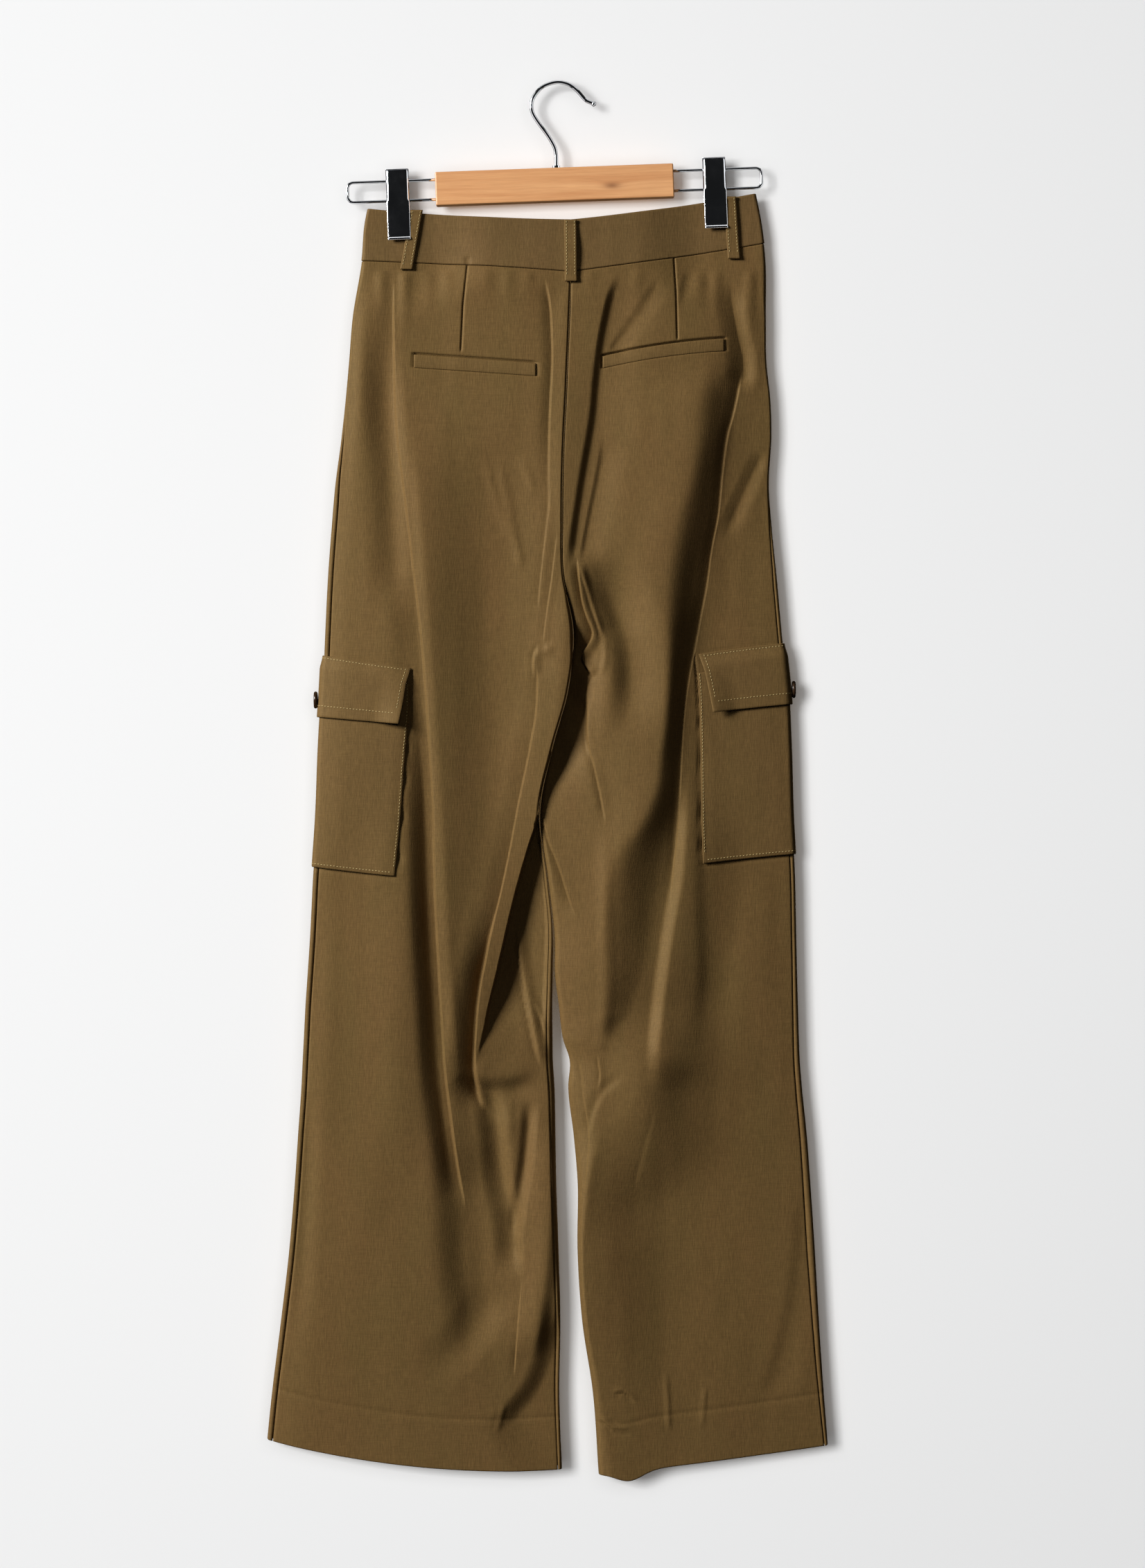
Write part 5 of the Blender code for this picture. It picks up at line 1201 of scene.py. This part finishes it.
# ----------------------------------------
# Buttons. Dark horn-look discs with a raised rim and four sewn holes: one on each flap, on the
# side seam, and one that closes the waistband in front.
BUTTON_HOLE_RADIUS = 0.8
BUTTON_HOLE_SPACING = 1.5
BUTTON_THREAD_RADIUS = 0.42
BUTTON_SIDES = 48
BUTTON_SHANK = 0.4         # of thread between a flap and its button
THREAD_ARCH = (2.15, 0.35, 1.4)   # height of the crossed threads, of one over the other, and their fall
FLAP_BUTTON_DROP = {"left": 528, "right": 519}
WAIST_BUTTON_AT = (-3, 139)
# Radius and height of the rim's and dish's outline, from the middle of the back to the front
BUTTON_PROFILE = ((0.01, 0), (6, 0), (6.9, 0.35), (7.3, 1.1), (7.3, 1.9), (7, 2.6), (6.4, 3),
                  (5.8, 2.9), (5.3, 2.4), (4.6, 2.15), (2.5, 2.1), (0.01, 2.1))


def new_horn(name):
    """Polished dark resin with cloudy brown streaks, like horn."""
    material, shader = new_material(name)
    place = add_node(material, "ShaderNodeTexCoord").outputs["Object"]
    streaks = yarn_noise(material, place, (400.0, 400.0, 120.0), 3.0, 0.0, 1.0)
    tone = blend_tones(material, streaks, (0.012, 0.008, 0.006), (0.07, 0.035, 0.015))
    plug(material, shader, {"Base Color": tone, "Roughness": 0.22})
    return material


def add_button(name, node, back, axis):
    """A turned button with four holes and crossed thread, its back at a point, facing along axis."""
    back, axis = np.array(back), np.array(axis, dtype=float)
    up = np.array([0.0, 0.0, 1.0])
    aside = np.cross(up, axis)
    angles = round_corners(BUTTON_SIDES)

    def ring(radius, height, centre):
        """A ring of points round the button's axis, or round a hole's."""
        return (centre + axis * height + radius * (np.cos(angles) * aside + np.sin(angles) * up))[0]

    turned = np.array([ring(radius, height, back) for radius, height in BUTTON_PROFILE])
    disc = new_beads(name, [turned], horn)
    drills, threads = [], []
    corners = round_corners(6)
    share = np.linspace(-1, 1, 9)[:, None]
    for turn in range(4):
        angle = math.pi / 4 + turn * math.pi / 2
        way = math.cos(angle) * aside + math.sin(angle) * up
        centre = back + BUTTON_HOLE_SPACING * way
        drills.append(np.array([ring(BUTTON_HOLE_RADIUS, height, centre) for height in (-1.0, 4.0)]))
        if turn < 2:
            arch = THREAD_ARCH[0] + THREAD_ARCH[1] * turn - THREAD_ARCH[2] * share ** 6
            middle = back + share * BUTTON_HOLE_SPACING * way + arch * axis
            ring_about = np.cos(corners) * np.cross(axis, way) + np.sin(corners) * axis
            threads.append(middle[:, None] + BUTTON_THREAD_RADIUS * ring_about)
    cutter = new_beads(name + "_drill", drills, horn)
    holes = disc.modifiers.new("holes", "BOOLEAN")
    holes.object = cutter
    bpy.context.view_layer.update()
    drilled = bpy.data.meshes.new_from_object(disc.evaluated_get(bpy.context.evaluated_depsgraph_get()))
    disc.modifiers.clear()
    disc.data = drilled
    disc.data.shade_smooth()
    disc.data.set_sharp_from_angle(angle=math.radians(40))
    bpy.data.objects.remove(cutter)
    fasten(disc, "horn", node)
    fasten(new_beads(name + "_thread", threads, thread), "twill_trim")


horn = new_horn("horn")
for side, outward in (("left", -1.0), ("right", 1.0)):
    drop = FLAP_BUTTON_DROP[side]
    edge = float(read_table(OUTLINE, side + "_side", drop))
    stack = 2 * (CLOTH + LAY_GAP) + FLAP_GAP + POCKET_PUFF + BUTTON_SHANK
    add_button("flap_button_horn_" + side, "flap_button_" + side, (edge + outward * stack, 0.0, -drop),
               (outward, 0.0, 0.0))

# ----------------------------------------
# Fly. A straight strip of the same twill lies on the left front beside the closing, under the
# band's button, and one row of stitching holds its outer edge.
FLY_WIDTH = 36
FLY_LEVELS = (LEVEL["waist_seam"] + 0.03, LEVEL["under_welt"] + 0.165)
FLY_FROM_CENTRE = 0.4

where = np.concatenate([[0.0, 0.004], spaced(0.012, 0.985, 0.02), [0.993, 1.0]])
where = FLY_LEVELS[0] + (FLY_LEVELS[1] - FLY_LEVELS[0]) * where
inward = np.concatenate([[0.0, 0.6], spaced(1.8, FLY_WIDTH - 1.8, 2.4),
                         [FLY_WIDTH - 1.8, FLY_WIDTH - 0.6, FLY_WIDTH]])
columns = row_line("left", where).width[:, None] - FLY_FROM_CENTRE - inward[None, :]
under = surface("left", where, columns, np.full(columns.shape, False))
normals = normals_of(under, "fly")
under = under + LAY_GAP * normals
over = under + CLOTH * normals
strip = new_shell("fly_strip_cloth", *round_rim(over, under), trim_twill)
fasten(strip, "twill_trim", "fly_strip")
strings = stitch_line(over, normals, np.linspace(1.0, len(over) - 3.0, 120), len(inward) - 5.0)
fasten(new_beads("fly_stitches", strings, thread), "twill_trim")
x, drop = WAIST_BUTTON_AT
depth = float(wall_depth("left", "fly", np.array([x]), np.array([drop]))[0])
add_button("waist_button_horn", "waist_button", (x, depth + BAND_PROUD + LAY_GAP, -drop), (0.0, 1.0, 0.0))

# ----------------------------------------
# Hanger bar. A planed strip of light hardwood under thin lacquer, with straight grain along it and
# one small knot. The solid has its shape already, and gets its finish here.
BAR_CENTRE_X = -4
BAR_CENTRE_DROP = 86.8
BAR_LEAN = math.radians(2.1)
BAR_LENGTH = 204
KNOT = (45, 88, 5, 1.9)    # x, drop, half length and half height


def new_wood(name):
    """Pale hardwood, planed along its grain, which bends round the knot."""
    material, shader = new_material(name)
    place = add_node(material, "ShaderNodeTexCoord").outputs["Object"]
    apart = add_node(material, "ShaderNodeSeparateXYZ", {"Vector": place})

    def math_node(operation, first, second=0.0, third=0.0):
        """A sum, product or power, worked out at each point of the wood."""
        return add_node(material, "ShaderNodeMath", {0: first, 1: second, 2: third},
                        operation=operation).outputs[0]

    along = math_node("MULTIPLY_ADD", apart.outputs["X"], 1.0 / (KNOT[2] * MM), -KNOT[0] / KNOT[2])
    above = math_node("MULTIPLY_ADD", apart.outputs["Z"], 1.0 / (KNOT[3] * MM), KNOT[1] / KNOT[3])
    ring = math_node("ADD", math_node("MULTIPLY", along, along), math_node("MULTIPLY", above, above))
    knot = math_node("POWER", 2.718, math_node("MULTIPLY", ring, -0.5))
    swirl = math_node("MULTIPLY", math_node("POWER", 2.718, math_node("MULTIPLY", ring, -0.07)), 0.0022)
    bent = math_node("ADD", apart.outputs["Z"], swirl)
    lean = math_node("MULTIPLY_ADD", apart.outputs["X"], -math.tan(BAR_LEAN), bent)
    grain_place = add_node(material, "ShaderNodeCombineXYZ", {0: apart.outputs["X"], 1: apart.outputs["Y"],
                                                              2: lean}).outputs[0]
    bands = yarn_noise(material, grain_place, (7.0, 40.0, 260.0), 3.0, 0.0, 1.0)
    fibres = yarn_noise(material, grain_place, (70.0, 700.0, 2600.0), 2.0, 0.92, 1.05)
    tone = blend_tones(material, bands, (0.66, 0.345, 0.150), (0.52, 0.235, 0.092))
    dark = blend_tones(material, math_node("MULTIPLY", knot, 0.75), tone, (0.20, 0.075, 0.028))
    planed = shade_by(material, dark, fibres)
    bump = add_node(material, "ShaderNodeBump", {"Height": fibres, "Strength": 0.25, "Distance": 0.0002})
    plug(material, shader, {"Base Color": planed, "Normal": bump.outputs[0], "Roughness": 0.42,
                            "Coat Weight": 0.25, "Coat Roughness": 0.25})
    return material


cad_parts["hanger_bar"].material_slots[0].material = new_wood("lacquered wood")

# ----------------------------------------
# Hanger wires. Chromed steel wire: an open rectangle let into each end of the bar, and the swivel
# hook with its rolled ball end, through a small ferrule on the bar's top edge.
WIRE_RADIUS = 1.25
WIRE_SPACING = 17
WIRE_END = 177.5
WIRE_CORNER = 5
HOOK_RADIUS = 1.6
BALL_RADIUS = 2.25         # of the rolled end, and its middle and half length past the wire's
BALL_MIDDLE = 1.7
BALL_HALF_LENGTH = 1.95
HOOK_LINE = ((-2.6, 71.9), (-2.7, 66), (-2.9, 60), (-4.4, 53.6), (-10, 44), (-17.7, 33.5),
             (-23, 24.5), (-23.8, 16.3), (-20.8, 9.2), (-14, 2.2), (-2.6, -1.55), (7.5, 0.1), (15, 5.5),
             (22.4, 13.6), (28, 16.4))


def new_chrome(name, roughness):
    """Bright nickel-chrome plating with faint clouding and dust."""
    material, shader = new_material(name)
    place = add_node(material, "ShaderNodeTexCoord").outputs["Object"]
    haze = yarn_noise(material, place, (90.0, 90.0, 90.0), 3.0, roughness * 0.7, roughness * 1.5)
    dust = yarn_noise(material, place, (900.0, 900.0, 900.0), 2.0, 0.97, 1.0)
    tone = shade_by(material, (0.78, 0.80, 0.83), dust)
    plug(material, shader, {"Base Color": tone, "Roughness": haze, "Metallic": 1.0})
    return material


def on_hanger(points):
    """Points in the leaning bar's own frame, with x along it and z up, as x, y, z."""
    points = np.asarray(points, dtype=float)
    cos, sin = math.cos(BAR_LEAN), math.sin(BAR_LEAN)
    x, y, z = points[..., 0], points[..., 1], points[..., 2]
    return np.stack([x * cos - z * sin + BAR_CENTRE_X, y, x * sin + z * cos - BAR_CENTRE_DROP], axis=-1)


def wire_rings(line, radii, sides=16):
    """Rings round a wire that lies in the middle plane."""
    ways = unit(np.gradient(line, axis=0))
    back = np.array([0.0, 1.0, 0.0])
    aside = np.cross(ways, back)
    angles = round_corners(sides)
    radii = np.asarray(radii, dtype=float)[:, None, None]
    return line[:, None] + radii * (np.cos(angles) * aside[:, None] + np.sin(angles) * back)


bright_chrome = new_chrome("bright chrome", 0.08)
for side, sign in (("left", -1.0), ("right", 1.0)):
    half = WIRE_SPACING / 2
    turn = np.linspace(math.pi / 2, 0.0, 9)
    bend = np.stack([WIRE_END - WIRE_CORNER + WIRE_CORNER * np.cos(turn),
                     half - WIRE_CORNER + WIRE_CORNER * np.sin(turn)], axis=1)
    run = np.stack([np.linspace(BAR_LENGTH / 2 - 1.0, WIRE_END - WIRE_CORNER, 8, endpoint=False),
                    np.full(8, half)], axis=1)
    upper = np.concatenate([run, bend])
    flat = np.concatenate([upper, upper[::-1] * (1, -1)])
    line = on_hanger(np.stack([sign * flat[:, 0], 0 * flat[:, 0], flat[:, 1]], axis=1))
    loop_wire = new_beads("wire_loop_chrome_" + side, [wire_rings(line, np.full(len(line), WIRE_RADIUS))],
                          bright_chrome)
    fasten(loop_wire, "chrome", "wire_loop_" + side)

flat = smooth_path(HOOK_LINE, 8)
past_end = np.linspace(0.3, 3.6, 9)
ball = 1 - ((past_end - BALL_MIDDLE) / BALL_HALF_LENGTH) ** 2
ball_radii = BALL_RADIUS * np.sqrt(np.clip(ball, 0.02, 1))
radii = np.concatenate([np.full(len(flat), HOOK_RADIUS), np.maximum(ball_radii, 0.3)])
flat = np.concatenate([flat, flat[-1] + unit(flat[-1] - flat[-2]) * past_end[:, None]])
line = np.stack([flat[:, 0], 0 * flat[:, 0], -flat[:, 1]], axis=1)
fasten(new_beads("hook_chrome", [wire_rings(line, radii)], bright_chrome), "chrome", "hook")
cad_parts["hook_ferrule"].material_slots[0].material = new_chrome("ferrule chrome", 0.12)

# ----------------------------------------
# Clips. Folded strips of chromed steel that slide on the wires. A flanged channel lies over the
# belt loop on the seat side, its lower lip rolled out, and a flat jaw with the top web is behind.
CLIP_X = {"left": -134.5, "right": 137}
CLIP_TOP = 18.2
CLIP_HEIGHT = 61
CLIP_WIDTH = 19.5
CLIP_STEEL = 0.9
BACK_JAW_DEPTH = 4.6
FRONT_JAW_DEPTH = 2.7
FLANGE_DROP = 25
FLANGE_CORNER = 2.8
FLANGE_DEPTH = 1.7         # how near the middle plane the flanges reach
CLIP_CROWN = 0.25
LIP_ROLL = 1.3             # the lower lip rolls out this far, and its rim back in this far
LIP_TUCK = 0.5
WEB_BEND = 2               # radius of the top web's bend into the flat jaw


def steel_strip(name, side, points, face, node):
    """A sheet of steel from the outer face's points in the hanger's frame."""
    normals = normals_of(points, face)
    inner = points - CLIP_STEEL * normals
    piece = new_shell(name + side, *round_rim(on_hanger(points), on_hanger(inner), 0.3), clip_chrome)
    return fasten(piece, "chrome", node + side)


clip_chrome = new_chrome("clip chrome", 0.1)
for side in ("left", "right"):
    centre = CLIP_X[side]
    bottom = CLIP_TOP - CLIP_HEIGHT
    z = np.concatenate([[CLIP_TOP - CLIP_STEEL - 0.3, CLIP_TOP - CLIP_STEEL - 0.8],
                        spaced(CLIP_TOP - 3.0, CLIP_TOP - FLANGE_DROP, 3.0),
                        spaced(CLIP_TOP - FLANGE_DROP, CLIP_TOP - FLANGE_DROP - 4.0, 0.7),
                        spaced(CLIP_TOP - FLANGE_DROP - 4.0, bottom + 4.0, 2.0),
                        np.linspace(bottom + 4.0, bottom, 9)])
    outer = BACK_JAW_DEPTH + CLIP_STEEL
    lip = LIP_ROLL * soft_step((bottom + 3.6 - z) / 2.6) - LIP_TUCK * soft_step((bottom + 0.9 - z) / 0.9)
    crown = CLIP_CROWN * np.sin(math.pi * (z - bottom) / CLIP_HEIGHT)
    flanged = soft_step((CLIP_TOP - FLANGE_DROP - z) / 3.0)
    deep = FLANGE_DEPTH + (BACK_JAW_DEPTH + 0.1 - FLANGE_DEPTH) * flanged
    turn = np.linspace(0.0, math.pi / 2, 7)
    corner_x = CLIP_WIDTH / 2 - FLANGE_CORNER + FLANGE_CORNER * np.cos(turn)
    rows_of_points = []
    for height, push, back in zip(z, lip + crown, deep):
        radius = min(FLANGE_CORNER, outer - back)
        corner_y = outer - radius + radius * np.sin(turn)
        half_x = np.concatenate([[CLIP_WIDTH / 2] * 3, corner_x[1:], [5.0, 2.5]])
        half_y = np.concatenate([back + (corner_y[0] - back) * np.array([0.0, 0.3, 1.0]), corner_y[1:],
                                 [outer, outer]])
        x = np.concatenate([-half_x, [0.0], half_x[::-1]])
        y = np.concatenate([half_y, [outer], half_y[::-1]]) + push
        rows_of_points.append(np.stack([centre + x, -y, np.full(len(x), height)], axis=1))
    steel_strip("clip_back_", side, np.array(rows_of_points), "seat", "clip_back_jaw_")

    reach, outer = BACK_JAW_DEPTH + CLIP_STEEL + 0.2, FRONT_JAW_DEPTH + CLIP_STEEL
    path = [(y, CLIP_TOP) for y in (-reach, -reach + 0.6, -3.0, -1.0)]
    for angle in turn:
        path.append((outer - WEB_BEND + WEB_BEND * math.sin(angle),
                     CLIP_TOP - WEB_BEND + WEB_BEND * math.cos(angle)))
    heights = [*np.linspace(CLIP_TOP - 4.0, bottom + 2.0, 16), bottom + 0.6, bottom]
    path += [(outer, height) for height in heights]
    across = CLIP_WIDTH * np.array([-0.5, -0.48, -0.44, -0.3, -0.1, 0.1, 0.3, 0.44, 0.48, 0.5])
    points = np.array([[(centre + x, y, height) for x in across] for y, height in path])
    steel_strip("clip_front_", side, points, "fly", "clip_front_jaw_")

# ----------------------------------------
# Room, lights and camera. A pale matt wall stands close behind the hanger, and a floor and four
# more walls well away from it. One large soft lamp lights the garment from the upper left, and
# weaker ones fill.
WALL_Y = 0.026
FLOOR_Z = -1.42
CAMERA_DISTANCE = 3.2
VIEW_CENTRE = (0.0113, -0.600)
VIEW_HEIGHT = 1.344
CARD_POWER = 4.2           # a square metre


def new_plain(name, colour):
    """A matt surface that shows from its front alone and casts no shadow."""
    material, shader = new_material(name)
    plug(material, shader, {"Base Color": (*colour, 1.0), "Roughness": 0.9})
    behind = add_node(material, "ShaderNodeNewGeometry").outputs["Backfacing"]
    shadow = add_node(material, "ShaderNodeLightPath").outputs["Is Shadow Ray"]
    either = add_node(material, "ShaderNodeMath", {0: behind, 1: shadow}, operation="MAXIMUM")
    clear = add_node(material, "ShaderNodeBsdfTransparent")
    mixed = add_node(material, "ShaderNodeMixShader", {0: either.outputs[0], 1: shader.outputs[0],
                                                       2: clear.outputs[0]})
    plug(material, material.node_tree.nodes["Material Output"], {"Surface": mixed.outputs[0]})
    return material


def add_plane(name, corners, material):
    """A wall or the floor. No piece shows it in its gloss or takes its colour."""
    plane = new_piece(name, corners, [(0, 1, 2, 3)], material)
    plane.visible_glossy = False
    plane.visible_diffuse = False
    return plane


def add_lamp(name, place, target, size, power, lit_alone=()):
    """A soft lamp for all but the room, or for the given pieces alone."""
    lamp = bpy.data.lights.new(name, "AREA")
    lamp.shape = "RECTANGLE"
    lamp.size, lamp.size_y = size
    lamp.energy = power
    holder = bpy.data.objects.new(name, lamp)
    bpy.context.scene.collection.objects.link(holder)
    holder.location = place
    holder.rotation_euler = (Vector(target) - Vector(place)).to_track_quat("-Z", "Y").to_euler()
    holder.visible_glossy = name == "key" or "card" in name
    holder.light_linking.receiver_collection = bpy.data.collections.new(name + " lights")
    for piece in lit_alone or stage:
        holder.light_linking.receiver_collection.objects.link(piece)
    for lit in holder.light_linking.receiver_collection.collection_objects:
        lit.light_linking.link_state = "INCLUDE" if lit_alone else "EXCLUDE"
    return holder


wall_paint = new_plain("wall paint", (0.81, 0.812, 0.812))
corners = [(-4, FLOOR_Z), (4, FLOOR_Z), (4, 2.5), (-4, 2.5)]
near_wall = add_plane("wall", [(x, WALL_Y, z) for x, z in corners], wall_paint)
corners = [(-7, -7), (7, -7), (7, 7), (-7, 7)]
room = [add_plane("floor", [(x, y, FLOOR_Z) for x, y in corners], wall_paint)]
names = ("seat side wall", "right wall", "fly side wall", "left wall")
for name, (x0, y0), (x1, y1) in zip(names, corners, corners[1:] + corners[:1]):
    sides = [(x0, y0, FLOOR_Z), (x0, y0, 6), (x1, y1, 6), (x1, y1, FLOOR_Z)]
    room.append(add_plane(name, sides, wall_paint))
stage = [near_wall] + room

middle = (0.0, 0.0, -0.6)
add_lamp("key", (-4.0, -2.4, 1.3), middle, (1.5, 1.8), 455)
add_lamp("front fill", (0.4, -4.4, 1.2), middle, (1.8, 1.6), 15)
add_lamp("back fill", (0.8, 2.6, 0.4), middle, (2.0, 2.0), 100)
add_lamp("wall side lamp", (-1.6, -4.3, -0.1), middle, (1.2, 1.2), 160, lit_alone=[near_wall])
add_lamp("wall wide lamp", (-0.5, -4.2, -0.4), middle, (4.5, 3.5), 96, lit_alone=[near_wall])
add_lamp("room lamp", (0.0, 0.0, 5.5), middle, (9.0, 9.0), 1500, lit_alone=room)
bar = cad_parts["hanger_bar"]
add_lamp("bar fill", (-0.6, -1.6, -1.4), (0.0, 0.0, -0.09), (0.8, 0.8), 15, lit_alone=[bar])

# Broad pale cards all round, which only the chrome shows
chromed = [piece for piece in bpy.context.scene.objects
           if piece.type == "MESH" and "chrome" in piece.active_material.name]
for name, place, size in (("left card", (-3.0, -0.6, 0.0), (2.4, 6.0)),
                          ("right card", (3.0, -0.6, 0.0), (2.4, 6.0)),
                          ("top card", (0.0, 0.0, 2.6), (4.0, 1.6)),
                          ("low card", (0.0, 0.0, -2.6), (4.0, 1.6))):
    power = CARD_POWER * size[0] * size[1]
    add_lamp(name, place, (0.0, place[1], 0.0), size, power, lit_alone=chromed)

world = bpy.data.worlds.new("room")
world.use_nodes = True
bpy.context.scene.world = world
plug(world, world.node_tree.nodes["Background"], {"Color": (0.85, 0.88, 0.92, 1.0), "Strength": 0.012})

camera = bpy.data.objects.new("camera", bpy.data.cameras.new("camera"))
bpy.context.scene.collection.objects.link(camera)
camera.location = (VIEW_CENTRE[0], -CAMERA_DISTANCE, VIEW_CENTRE[1])
camera.rotation_euler = (math.pi / 2, 0.0, 0.0)
camera.data.lens = camera.data.sensor_width * CAMERA_DISTANCE / VIEW_HEIGHT
bpy.context.scene.camera = camera
bpy.context.scene.view_settings.view_transform = "Standard"
